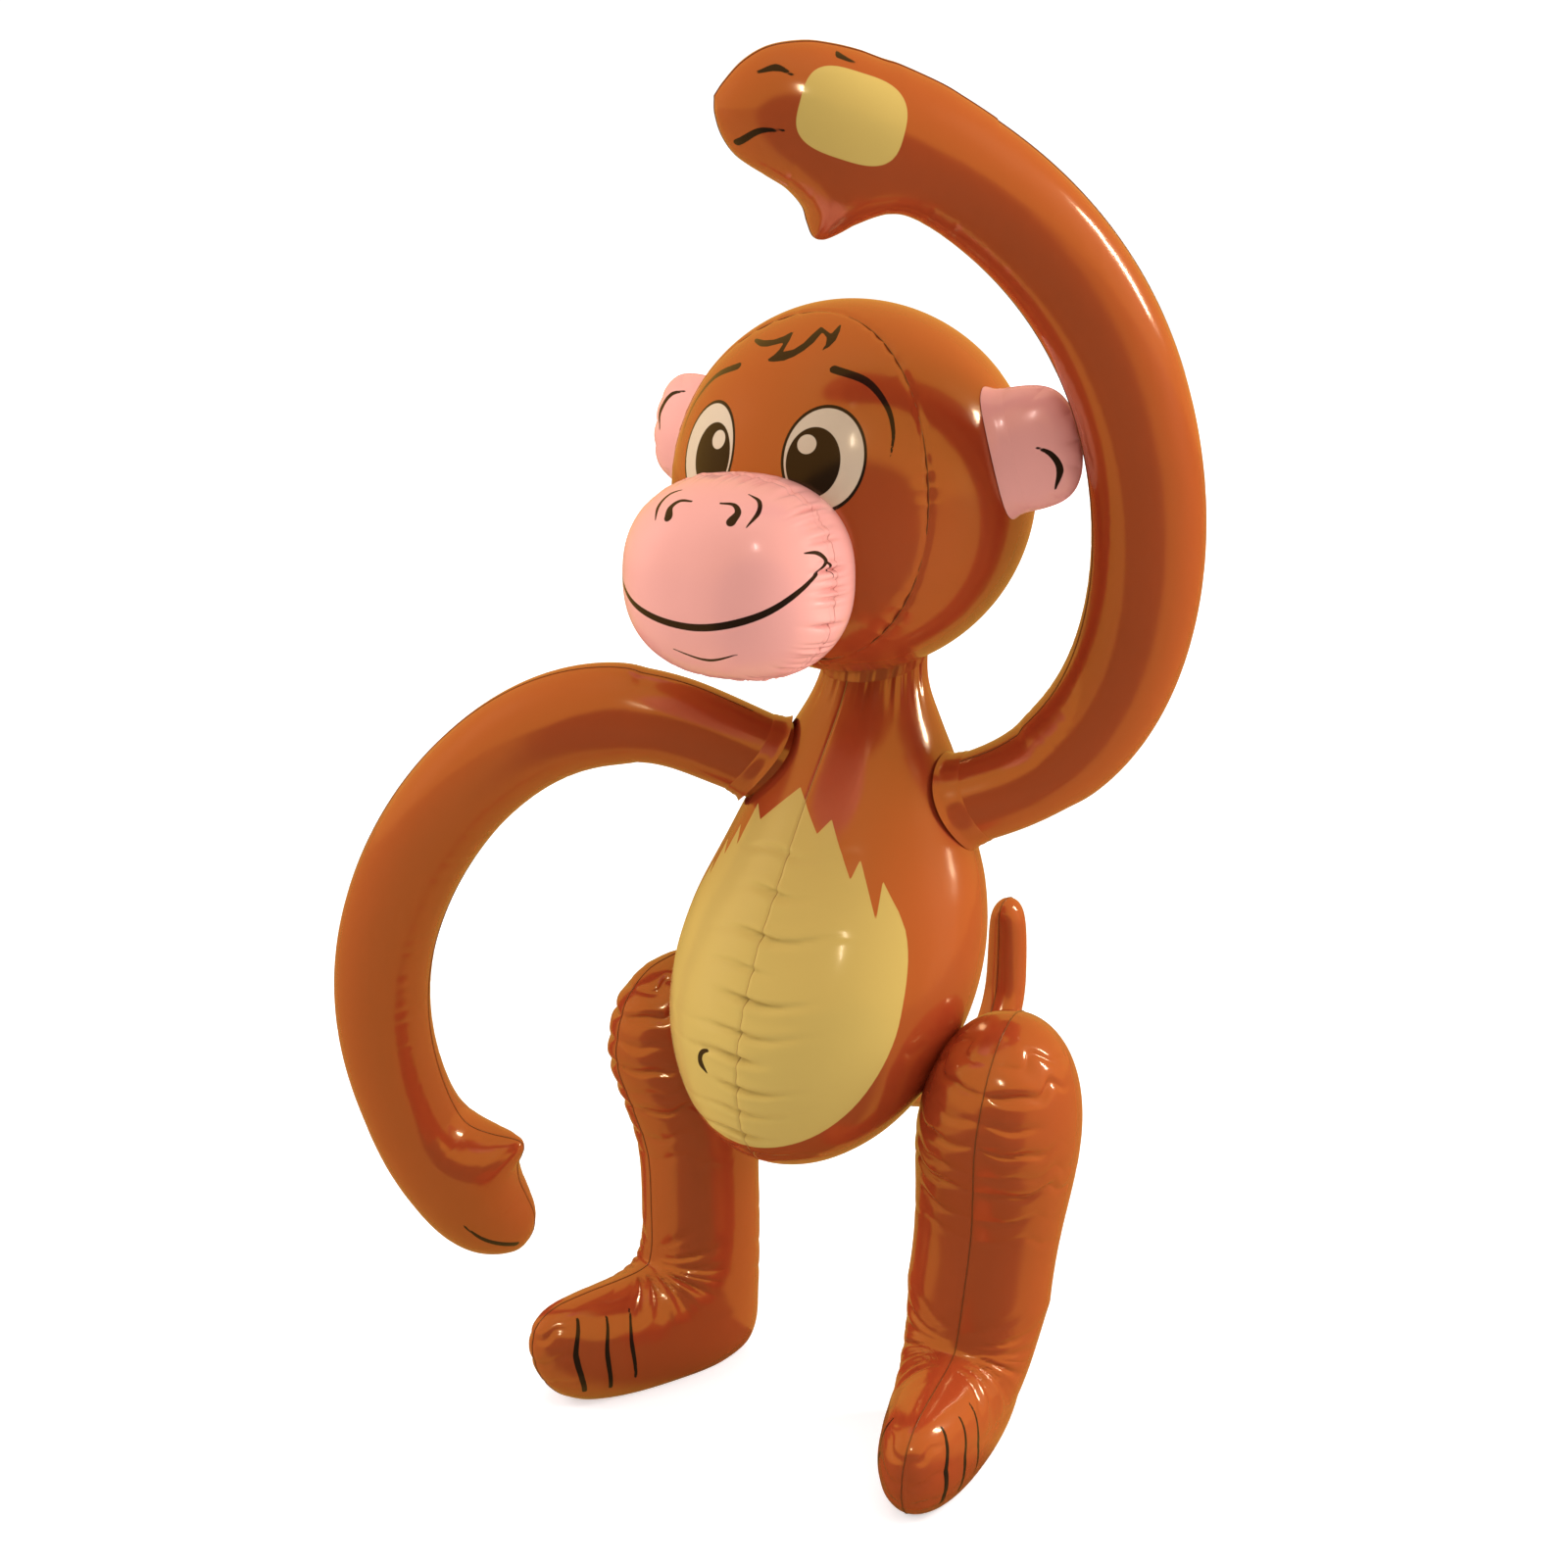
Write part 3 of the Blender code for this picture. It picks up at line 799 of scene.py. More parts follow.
def leg_pattern(rows, columns):
    at = np.linspace(0.0, LEG_SAMPLES - 1, rows)
    pick = [np.interp(at, np.arange(LEG_SAMPLES), column) for column in LEG_OUTLINE.T]
    t = (across(columns) + 1) / 2
    flat = np.zeros((rows, columns, 2))
    flat[:, :, 0] = pick[1][:, None] + (pick[2] - pick[1])[:, None] * t[None, :]
    flat[:, :, 1] = pick[0][:, None]
    return flat


# %% [markdown]
# ## The legs
# Deep folds cross the knee's front weld and fan out over the ankle, and the floor presses the
# sole flat. Folds could be sculpted on each leg. They are waves over the flat pattern here,
# worked out once and taken off the height of the film before both legs are placed.

# %% The legs
LEG_ROWS, LEG_COLUMNS = 310, 145
KNEE_FOLD_SIZE = (0.0078, 0.0025)
TOE_FOLD_SIZE = (0.0036, 0.0024)
HEEL_FOLD_SIZE = (0.0024, 0.0030)
KNEE_FOLDS = (
    (0.197, 0.5),
    (0.186, 1.0),
    (0.173, 0.7),
    (0.161, 1.1),
    (0.149, 0.4),
    (0.139, 0.9),
    (0.124, 0.6),
    (0.112, 0.3),
)
TOE_FOLDS = ((0.040, 0.8), (0.028, 1.0), (0.014, 0.7))
HEEL_FOLDS = ((0.080, 0.5), (0.062, 0.8), (0.048, 0.7), (0.110, 0.4), (0.140, 0.5), (0.165, 0.5))
legs = {}
leg_flat = leg_pattern(LEG_ROWS, LEG_COLUMNS)
leg_film = puffed(leg_flat, False)
level = leg_flat[:, :1, 1]
above_foot = np.clip((level - 0.030) / 0.045, 0.0, 1.0)
away_front = leg_flat[:, -1:, 0] - leg_flat[:, :, 0]
away_back = leg_flat[:, :, 0] - leg_flat[:, :1, 0]
wave = level + 0.0022 * np.sin(leg_flat[:, :, 0] * 210.0)
wave = wave + 0.0012 * np.sin(leg_flat[:, :, 0] * 470.0)
reach = 0.014 * (1.0 + 0.40 * np.sin(level * 131.0 + 1.0))
knee = crease(wave, KNEE_FOLDS, *KNEE_FOLD_SIZE) * np.exp(-((away_front / reach) ** 1.5))
toe = crease(wave, TOE_FOLDS, *TOE_FOLD_SIZE) * np.exp(-((away_front / 0.009) ** 1.5))
heel = crease(wave, HEEL_FOLDS, *HEEL_FOLD_SIZE) * np.exp(-((away_back / 0.009) ** 1.5))
fan_x, fan_z = ANKLE_HALF + 0.006 - leg_flat[:, :, 0], level - (FOOT_HEIGHT + 0.010)
fan_turn, fan_far = np.arctan2(fan_z, fan_x), np.hypot(fan_x, fan_z)
fan = 1.0 - np.abs(np.sin(6.0 * fan_turn + 0.9 + 0.5 * np.sin(2.3 * fan_turn))) ** 0.6
fan += 0.45 * (1.0 - np.abs(np.sin(10.0 * fan_turn + 0.3)) ** 0.6)
fan = 0.0019 * fan * np.exp(-(((fan_far - 0.012) / 0.012) ** 2)) * np.clip(fan_far / 0.006, 0, 1)
leg_dent = knee + toe + heel + fan
pucker = (0.10 * knee + 0.20 * toe)[:, -1:] * np.exp(-((away_front / 0.010) ** 2))
leg_flat[:, :, 0] -= pucker
for leg_name, (side, ankle, splay, lean, fullness) in LEG_STANCE.items():
    leg_height = leg_film * (FOOT_FULLNESS + (fullness - FOOT_FULLNESS) * above_foot)
    leg_height = np.maximum(leg_height - leg_dent * np.clip(leg_height / 0.007, 0, 1), 0.0)
    turn, tilt = math.radians(splay), math.radians(lean)
    forward = Vector((side * math.sin(turn), -math.cos(turn), 0.0))
    outward = Vector((side * math.cos(turn), math.sin(turn), 0.0))
    up = Vector((0, 0, 1)) * math.cos(tilt) + outward * math.sin(tilt)
    where = [np.array(v) for v in ((*ankle, 0.0), forward, up, forward.cross(up))]
    front, back = panels(leg_flat, leg_height, where)
    for grid in (front, back):
        grid[..., 2] = np.maximum(grid[..., 2], 0.0)
    body = joined(leg_name + "_skin", front + SHIFT, back + SHIFT)
    local = points_of(body) - SHIFT - where[0]
    legs[leg_name] = (body, local @ where[1], local[:, 2], local @ where[3])
    edge = weld_edge(front, 5)
    edge = edge[(edge[:, 2] > 0.0008) & (outside_torso(edge) > ROOT_CLEAR)]
    legs[leg_name + "_weld"] = tube(leg_name + "_weld", edge + SHIFT, WELD_RADIUS)
    tell(body)


# %% [markdown]
# ## The tail
# The tail is a thin curled chamber behind the torso. A bevelled curve would do, but the same
# blown pattern as the limbs gives it the weld down both sides and the rounded tip.


# %% The tail
TAIL_HALF = 0.0098
TAIL_TIP = 0.04
TAIL_PATH = (
    (0.030, 0.168),
    (0.066, 0.150),
    (0.105, 0.131),
    (0.145, 0.122),
    (0.176, 0.128),
    (0.193, 0.150),
    (0.196, 0.176),
    (0.195, 0.205),
)


def tail_pattern(rows, columns):
    path = smooth_path(TAIL_PATH, rows)
    run = np.linspace(0.0, 1.0, rows)
    half = TAIL_HALF * (1.4 - 0.4 * run)
    tip = np.clip((1.0 - run) / TAIL_TIP, 0.0, 1.0)
    half = half * np.sqrt(1 - (1 - tip) ** 2) + 1e-5
    return ribbon(path, half, half, columns)


tail_flat = tail_pattern(260, 25)
tail_frame = np.array(((0, 0, 0), (0, 1, 0), (0, 0, 1), (1, 0, 0)), float)
tail_front, tail_back = panels(tail_flat, puffed(tail_flat, True), tail_frame)
tail = joined("tail_skin", tail_front + SHIFT, tail_back + SHIFT)
tail_edge = weld_edge(tail_front, 60)
tail_weld = tube("tail_weld", tail_edge + SHIFT, WELD_RADIUS)
tell(tail)

# %% [markdown]
# ## The ears
# The ears are small soft chambers whose rims gather into a row of short puckers. They are
# blown less than the limbs, and their puckers are waves that fade away from the rim. A lattice
# on a flattened sphere could give the outline, but not the puckers square to the rim.


# %% The ears
EAR_HALF_HEIGHT = 0.327 * HEAD_RADIUS
EAR_ROOT = 0.25 * HEAD_RADIUS
EAR_FULLNESS = 0.55
EAR_ROOT_ROWS, EAR_ROWS = 30, 180
EAR_EDGES = (
    (0.00, 1.00),
    (0.35, 0.99),
    (0.62, 0.93),
    (0.80, 0.80),
    (0.92, 0.58),
    (0.98, 0.32),
    (1.00, 0.04),
)
EAR_AIM = {"ear_left": (1, 18.0, 11.0), "ear_right": (-1, 3.0, 11.0)}


def ear_frame(name):
    side, back, rise = EAR_AIM[name]
    turn, lift = math.radians(back), math.radians(rise)
    outward = Vector((side * math.cos(turn), math.sin(turn), 0.0))
    right = outward * math.cos(lift) + Vector((0, 0, 1)) * math.sin(lift)
    up = Vector((0, 0, 1)) * math.cos(lift) - outward * math.sin(lift)
    normal = Vector((-side * math.sin(turn), math.cos(turn), 0.0))
    start = HEAD_CENTRE + EAR_PLACE * np.array((side, 1.0, 1.0))
    return [np.array(v) for v in (start, right, up, normal)]


EAR_ROOT_STEPS = (
    (0.0070, 0.0000),
    (0.0058, 0.0004),
    (0.0040, 0.0006),
    (0.0022, 0.0010),
    (0.0008, 0.0018),
    (-0.0004, 0.0024),
)
ear_ease = np.sin(np.linspace(0.0, 0.5, EAR_ROWS - EAR_ROOT_ROWS) * math.pi)
ear_start = np.linspace(-EAR_ROOT, 0.0, EAR_ROOT_ROWS, endpoint=False)
ear_at = np.r_[ear_start, EAR_REACH * ear_ease]
ear_share = edge_curve(EAR_EDGES, np.maximum(ear_at / EAR_REACH, 0.0))[0]
ear_path = np.stack([ear_at, np.zeros(EAR_ROWS)], axis=-1)
ear_flat = ribbon(ear_path, EAR_HALF_HEIGHT * ear_share, EAR_HALF_HEIGHT * ear_share, 61)
ear_height = EAR_FULLNESS * puffed(ear_flat, True)
ear_rim = EAR_HALF_HEIGHT * ear_share[:, None] - np.abs(ear_flat[:, :, 1])
ear_rim = np.minimum(ear_rim, EAR_REACH - ear_flat[:, :, 0])
ear_turn = np.arctan2(ear_flat[:, :, 1], ear_flat[:, :, 0] + 0.010)
ear_folds = 1.0 - np.abs(np.sin(9.0 * ear_turn + 0.7 * np.sin(4.0 * ear_turn))) ** 0.6
ear_dent = 0.0024 * ear_folds * np.exp(-np.abs(ear_rim / 0.0046) ** 1.8)
ear_height = np.maximum(ear_height - ear_dent * np.clip(ear_height / 0.004, 0, 1), 0.0)
ears = {}
for ear_name in EAR_AIM:
    where = ear_frame(ear_name)
    front, back = panels(ear_flat, ear_height, where)
    body = joined(ear_name + "_skin", front + SHIFT, back + SHIFT)
    local = points_of(body) - SHIFT - where[0]
    ears[ear_name] = (body, local @ where[1], local @ where[2], local @ where[3])
    edge = weld_edge(front, EAR_ROOT_ROWS)
    edge = edge[outside_head(edge) > ROOT_CLEAR]
    ears[ear_name + "_weld"] = tube(ear_name + "_weld", edge + SHIFT, WELD_RADIUS)
    lines = [line + SHIFT for line in round_lines(front, back)]
    ears[ear_name + "_flange"] = flange(
        ear_name + "_flange", lines, lambda points: outside_head(points - SHIFT), EAR_ROOT_STEPS
    )
    tell(body)


# %% [markdown]
# ## Distances to printed shapes
# The face, belly and lines are printed on the flat film before it is welded. An image texture
# would be the usual way. Here each printed shape is a signed distance kept on the mesh,
# negative inside the ink. The material turns it into a crisp edge at any distance, so nothing
# is raised and no picture file is needed.


# %% Distances to printed shapes
def ellipse_gap(u, v, centre, half):
    """Rough signed distance from an ellipse."""
    du, dv = (u - centre[0]) / half[0], (v - centre[1]) / half[1]
    return (np.hypot(du, dv) - 1.0) * min(half)


def stroke_gap(u, v, points, widths, count=48):
    """Signed distance from a tapering brush stroke through the points."""
    line = smooth_path(points, count)
    place = np.linspace(0.0, 1.0, count)
    thick = 0.5 * np.interp(place, np.linspace(0.0, 1.0, len(widths)), widths)
    best = np.full(np.shape(u), 1.0)
    for k in range(count - 1):
        a, step = line[k], line[k + 1] - line[k]
        size = max(float(step @ step), 1e-12)
        share = np.clip(((u - a[0]) * step[0] + (v - a[1]) * step[1]) / size, 0.0, 1.0)
        gap = np.hypot(u - a[0] - share * step[0], v - a[1] - share * step[1])
        best = np.minimum(best, gap - (thick[k] + share * (thick[k + 1] - thick[k])))
    return best


def polygon_gap(u, v, corners):
    """Signed distance from a closed polygon, negative inside."""
    corners = np.asarray(corners, float)
    best = np.full(np.shape(u), 1.0)
    inside = np.zeros(np.shape(u), bool)
    for a, b in zip(corners, np.roll(corners, -1, axis=0)):
        step = b - a
        share = np.clip(((u - a[0]) * step[0] + (v - a[1]) * step[1]) / (step @ step), 0.0, 1.0)
        best = np.minimum(best, np.hypot(u - a[0] - share * step[0], v - a[1] - share * step[1]))
        cross = (a[1] > v) != (b[1] > v)
        slope = np.where(cross, (v - a[1]) / np.where(b[1] == a[1], 1.0, b[1] - a[1]), 0.0)
        inside ^= cross & (u < a[0] + slope * step[0])
    return np.where(inside, -best, best)


def strokes_gap(u, v, strokes):
    best = np.full(np.shape(u), 1.0)
    for points, widths in strokes:
        points = [(x * MM, y * MM) for x, y in points]
        best = np.minimum(best, stroke_gap(u, v, points, [w * MM for w in widths]))
    return best


# %% [markdown]
# ## The printed face
# Eyes, brows and a tuft of hair are placed by distances from the nose, measured over the
# curved film as on the flat panel. One side of the eyes and brows is drawn and mirrored, while
# the tuft is drawn whole, because it is not the same on both sides.

# %% The printed face
face_half = np.array((1.0, HEAD_FRONT, HEAD_TALL)) * HEAD_RADIUS
face_uv = dome_uv(points_of(head) - SHIFT, HEAD_CENTRE, face_half)
fu, fv = face_uv[:, 0], face_uv[:, 1]
fm = np.abs(fu)
keep_value(head, "eye", ellipse_gap(fm, fv, (0.0305, 0.0205), (0.0172, 0.0218)))
keep_value(head, "pupil", ellipse_gap(fm, fv, (0.0262, 0.0185), (0.0118, 0.0150)))
keep_value(head, "glint", ellipse_gap(fm, fv, (0.0228, 0.0258), (0.0042, 0.0042)))
BROW = [((27, 61.5), (43.5, 57), (54.5, 46), (59, 34), (59, 22.5)), (4.2, 4.0, 2.8, 2.0, 0.8)]
HAIR = (
    (-28.9, 79.4), (-19.3, 76.9), (-12.6, 77.0), (-7.7, 79.3), (-4.0, 83.4), (-2.5, 76.6),
    (-2.3, 69.2), (2.9, 70.8), (6.3, 75.0), (8.2, 81.9), (9.8, 87.1), (17.7, 82.2), (18.4, 86.8),
    (18.8, 92.3), (21.1, 84.9), (21.8, 78.6), (20.3, 73.8), (17.0, 70.3), (18.1, 74.8),
    (16.8, 79.3), (12.7, 83.0), (11.4, 75.4), (8.6, 70.3), (5.0, 66.6), (0.8, 64.2),
    (-4.4, 63.4), (-9.8, 63.7), (-6.5, 67.4), (-5.2, 70.3), (-5.0, 75.0), (-9.1, 73.7),
    (-14.0, 72.4), (-18.8, 72.7), (-23.3, 74.7), (-27.0, 76.8),
)
ink = np.minimum(strokes_gap(fm, fv, [BROW]), polygon_gap(fu, fv, np.array(HAIR) * MM))
keep_value(head, "ink", np.where(fv < -0.05, 1.0, ink))
print("inked points on the head", int(np.sum((ink < 0) & (fv > -0.05))))

# %% [markdown]
# ## The printed muzzle
# The smile runs right across the front, and nostrils and cheek lines are mirrored strokes that
# swell and taper as a brush does. A curve object laid on the film would stand proud of it.

# %% The printed muzzle
muzzle_uv = dome_uv(points_of(muzzle) - SHIFT, MUZZLE_CENTRE, MUZZLE_HALF)
mu, mv = muzzle_uv[:, 0] - 0.0035, muzzle_uv[:, 1]
mm = np.abs(mu)
SMILE = [
    ((-64, 14), (-49, 0), (-29, -10.5), (0, -15.8), (29, -10.5), (49, 0), (64, 14)),
    (1.2, 2.4, 3.0, 3.2, 3.2, 2.8, 1.6),
]
HALF_STROKES = [
    [((50, 18), (58.5, 18.8), (65.5, 14.5), (71, 5)), (0.8, 2.6, 2.2, 0.6)],
    [((7.5, 37.0), (14, 36.8), (17.2, 33), (15.6, 28.4)), (1.0, 1.6, 2.8, 4.4)],
    [((18.4, 44.0), (24.6, 40.5), (26, 34), (22.6, 26.4)), (0.6, 2.0, 2.2, 0.6)],
]
CHIN = [((-13, -27.6), (2.5, -32.2), (18, -28.0)), (0.6, 1.8, 0.6)]
ink = np.minimum(strokes_gap(mu, mv, [SMILE, CHIN]), strokes_gap(mm, mv, HALF_STROKES))
keep_value(muzzle, "ink", ink)
print("inked points on the muzzle", int(np.sum(ink < 0)))

# %% [markdown]
# ## The printed belly
# A cream patch covers the belly: round below, and with locks of fur along its top edge. The
# round part is a smooth path and the locks are straight cuts between points, so that the tips
# stay sharp. The front half alone takes the print.

# %% The printed belly
torso_at = points_of(torso) - SHIFT
BELLY_ROUND = (
    (51.3, 254.5), (56.2, 245.5), (59.6, 233.1), (61.0, 218.0), (60.0, 202.0), (55.0, 186.0),
    (46.0, 171.0), (33.0, 159.0), (17.0, 151.5), (0.0, 149.0), (-17.0, 151.5), (-33.0, 159.0),
    (-46.0, 171.0), (-55.0, 186.0), (-60.5, 202.0), (-61.5, 218.0), (-60.5, 233.1),
)
BELLY_FUR = (
    (-56.0, 250.0), (-50.0, 262.0), (-48.5, 257.0), (-44.0, 273.0), (-41.0, 267.0),
    (-36.0, 281.0), (-33.0, 273.0), (-28.0, 291.3), (-22.2, 285.7), (-5.1, 301.5), (-1.5, 298.0),
    (10.9, 284.4), (15.2, 290.6), (30.8, 267.2), (32.0, 275.3), (45.2, 251.3), (42.5, 266.7),
)
BELLY = [tuple(point) for point in smooth_path(BELLY_ROUND, 60)] + list(BELLY_FUR)
front_side = torso_at[:, 1] < NECK_TOP[1] - (NECK_TOP[2] - torso_at[:, 2]) * TORSO_LEAN
belly = polygon_gap(torso_at[:, 0], torso_at[:, 2], np.array(BELLY) * MM)
keep_value(torso, "belly", np.where(front_side, belly, 1.0))
NAVEL = [((-15.6, 192.0), (-20.5, 190.0), (-21.5, 185.5), (-17.0, 181.5)), (0.6, 2.6, 3.4, 0.8)]
navel = strokes_gap(torso_at[:, 0], torso_at[:, 2], [NAVEL])
keep_value(torso, "ink", np.where(front_side, navel, 1.0))
print("printed points on the torso", int(np.sum(front_side & (belly < 0))))


# %% [markdown]
# ## Lines on hands, feet and ears
# Palm pad, finger lines, toe lines and the curl in each ear are drawn on the flat patterns, as
# the printer does. The places are given in the pattern's own directions, so the print goes
# where the limb goes. On the hands and ears it is on one panel alone.


# %% Lines on hands, feet and ears
def rounded_gap(u, v, centre, half, turn, power=3.2):
    """Rough signed distance from a rounded square."""
    c, s = math.cos(turn), math.sin(turn)
    du = np.abs((u - centre[0]) * c + (v - centre[1]) * s) / half[0]
    dv = np.abs(-(u - centre[0]) * s + (v - centre[1]) * c) / half[1]
    return ((du**power + dv**power) ** (1 / power) - 1.0) * min(half)


PALM_LINES = [
    [((10, 346.5), (17.5, 346.2), (23, 342)), (0.8, 2.2, 0.6)],
    [((-5, 324), (4, 327.6), (13, 326)), (2.8, 2.4, 0.8)],
    [((40.5, 342.5), (46, 338)), (1.6, 0.6)],
]
FAR_LINES = [[((26, 318), (12, 325.5), (-4, 329)), (1.0, 2.8, 3.4)]]
for arm_name, lines in (("arm_left", PALM_LINES), ("arm_right", FAR_LINES)):
    body, u, v, h = arms[arm_name]
    pad = rounded_gap(u, v, (0.0385, 0.3225), (0.0205, 0.0150), math.radians(-35.0))
    keep_value(body, "belly", np.where((h > 0) if arm_name == "arm_left" else False, pad, 1.0))
    keep_value(body, "ink", np.where(h > 0, strokes_gap(u, v, lines), 1.0))
FOOT_LINES = [
    [((79.5, 45), (83.5, 29), (78, 9)), (1.4, 2.8, 2.2)],
    [((66, 44), (69, 28), (66, 9)), (1.2, 2.5, 2.0)],
    [((54, 45), (56.5, 31), (54, 12)), (1.0, 2.3, 1.6)],
]
for leg_name in LEG_STANCE:
    body, u, v, h = legs[leg_name]
    keep_value(body, "ink", strokes_gap(u, v, FOOT_LINES))
EAR_STROKES = {
    "ear_left": [((14.0, 1.0), (20.5, -3.5), (23.0, -10.5), (19.5, -18.5)), (0.6, 2.4, 3.0, 0.8)],
    "ear_right": [((12, 19), (21, 15), (26, 6), (24, -2)), (0.6, 2.0, 2.6, 0.8)],
}
for ear_name, stroke in EAR_STROKES.items():
    body, u, v, h = ears[ear_name]
    keep_value(body, "ink", np.where(h < 0, strokes_gap(u, v, [stroke]), 1.0))


# %% [markdown]
# ## Vinyl film
# Inflated film is smooth, coloured plastic with broad, warm reflections and small sharp
# highlights. A plain glossy shader would mirror the room too weakly. So the index is raised,
# the reflection is tinted towards the film's own colour, and a thin clear coat adds the sharp
# highlights. Two noises give a faint mottle in the colour and a slight ripple in the film.


# %% Vinyl film
BROWN = (0.335, 0.043, 0.0125)
BROWN_EDGE = (1.0, 0.75, 0.45, 1.0)
PINK = (0.84, 0.37, 0.32)
CREAM = (0.56, 0.38, 0.10)
INK = (0.010, 0.006, 0.005)
WHITE = (0.62, 0.48, 0.34)
WELD_BROWN = (0.13, 0.025, 0.007)
WELD_CREAM = (0.40, 0.22, 0.055)
FILM_INDEX, COAT_SHARE, INK_GLOSS = 1.9, 0.12, 0.2


def new_node(tree, kind, **values):
    node = tree.nodes.new(kind)
    for key, value in values.items():
        setattr(node, key, value)
    return node


def edge_mask(tree, attribute, low, high):
    """One inside a printed shape and zero outside it."""
    read = new_node(tree, "ShaderNodeAttribute", attribute_name=attribute)
    edge = new_node(tree, "ShaderNodeMapRange", interpolation_type="SMOOTHSTEP")
    edge.inputs["From Min"].default_value = low
    edge.inputs["From Max"].default_value = high
    edge.inputs["To Min"].default_value = 1.0
    edge.inputs["To Max"].default_value = 0.0
    tree.links.new(read.outputs["Fac"], edge.inputs["Value"])
    return edge.outputs["Result"]


def vinyl(name, base, prints=(), gloss=1.0, rough=0.15, wave=0.10, edge=BROWN_EDGE):
    """Glossy film of one colour with printed shapes: attribute, colour, and its edge."""
    material = bpy.data.materials.new(name)
    material.use_nodes = True
    tree = material.node_tree
    shader = tree.nodes["Principled BSDF"]
    shader.inputs["Roughness"].default_value = rough
    shader.inputs["IOR"].default_value = FILM_INDEX
    shader.inputs["Specular IOR Level"].default_value = gloss
    shader.inputs["Specular Tint"].default_value = edge
    shader.inputs["Coat Weight"].default_value = COAT_SHARE
    shader.inputs["Coat Roughness"].default_value = 0.04
    shader.inputs["Coat IOR"].default_value = 1.45
    place = new_node(tree, "ShaderNodeTexCoord")
    mottle = new_node(tree, "ShaderNodeTexNoise")
    mottle.inputs["Scale"].default_value = 9.0
    mottle.inputs["Detail"].default_value = 3.0
    tree.links.new(place.outputs["Object"], mottle.inputs["Vector"])
    ramp = new_node(tree, "ShaderNodeMix", data_type="RGBA")
    ramp.inputs["A"].default_value = (*[c * 0.90 for c in base], 1.0)
    ramp.inputs["B"].default_value = (*[min(c * 1.10, 1.0) for c in base], 1.0)
    tree.links.new(mottle.outputs["Fac"], ramp.inputs["Factor"])
    colour = ramp.outputs["Result"]
    sheen = None
    for attribute, ink_colour, low, high in prints:
        mask = edge_mask(tree, attribute, low, high)
        mix = new_node(tree, "ShaderNodeMix", data_type="RGBA")
        mix.inputs["B"].default_value = (*ink_colour, 1.0)
        tree.links.new(mask, mix.inputs["Factor"])
        tree.links.new(colour, mix.inputs["A"])
        colour = mix.outputs["Result"]
        flat = new_node(tree, "ShaderNodeMix")
        flat.inputs["A"].default_value = gloss
        flat.inputs["B"].default_value = INK_GLOSS
        tree.links.new(mask, flat.inputs["Factor"])
        if sheen:
            tree.links.new(sheen, flat.inputs["A"])
        sheen = flat.outputs["Result"]
    tree.links.new(colour, shader.inputs["Base Color"])
    if sheen:
        tree.links.new(sheen, shader.inputs["Specular IOR Level"])
    ripple = new_node(tree, "ShaderNodeTexNoise")
    ripple.inputs["Scale"].default_value = 34.0
    ripple.inputs["Detail"].default_value = 2.0
    tree.links.new(place.outputs["Object"], ripple.inputs["Vector"])
    bump = new_node(tree, "ShaderNodeBump")
    bump.inputs["Strength"].default_value = wave
    bump.inputs["Distance"].default_value = 0.003
    tree.links.new(ripple.outputs["Fac"], bump.inputs["Height"])
    tree.links.new(bump.outputs["Normal"], shader.inputs["Normal"])
    tree.links.new(bump.outputs["Normal"], shader.inputs["Coat Normal"])
    return material


# %% [markdown]
# ## The films of the toy
# Each kind of film is the same shader with its own colour and its own prints. The prints are
# laid in order, so the white of the eye covers its dark ring and the pupil covers the white.
# The welds are pressed double film, so they are darker and duller than the chambers.

# %% The films of the toy
SOFT = 0.00016
OUTLINE = 0.0013
INK_PRINT = ("ink", INK, -SOFT, SOFT)
brown_plain = vinyl("brown_film", BROWN)
brown_head = vinyl(
    "face_film",
    BROWN,
    (
        ("eye", INK, OUTLINE - SOFT, OUTLINE + SOFT),
        ("eye", WHITE, -SOFT, SOFT),
        ("pupil", INK, -SOFT, SOFT),
        ("glint", WHITE, -SOFT, SOFT),
        INK_PRINT,
    ),
)
PINK_EDGE = (1.0, 0.72, 0.66, 1.0)
brown_printed = vinyl("print_film", BROWN, (("belly", CREAM, -SOFT, SOFT), INK_PRINT))
brown_foot = vinyl("foot_film", BROWN, (INK_PRINT,))
pink_printed = vinyl("pink_film", PINK, (INK_PRINT,), gloss=0.4, rough=0.2, edge=PINK_EDGE)
pink_plain = vinyl("pink_plain", PINK, gloss=0.4, rough=0.2, edge=PINK_EDGE)
weld_brown = vinyl("weld_film", WELD_BROWN, gloss=0.5, rough=0.3)
weld_cream = vinyl("weld_cream", WELD_CREAM, gloss=0.2, rough=0.35)
print("films", [material.name for material in bpy.data.materials])


# %% [markdown]
# ## Into the frame
# Each finished chamber stands for its plain solid, and the welds and skirts are added beside
# it. The toy has no joint, so everything rides on the one body there is. Each piece is parented
# to that body's empty, and the same call hides the solid that the piece replaces.


# %% Into the frame
def place_piece(item, material, node=None):
    item.data.materials.clear()
    item.data.materials.append(material)
    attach(item, "root")
    if node:
        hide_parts(node)


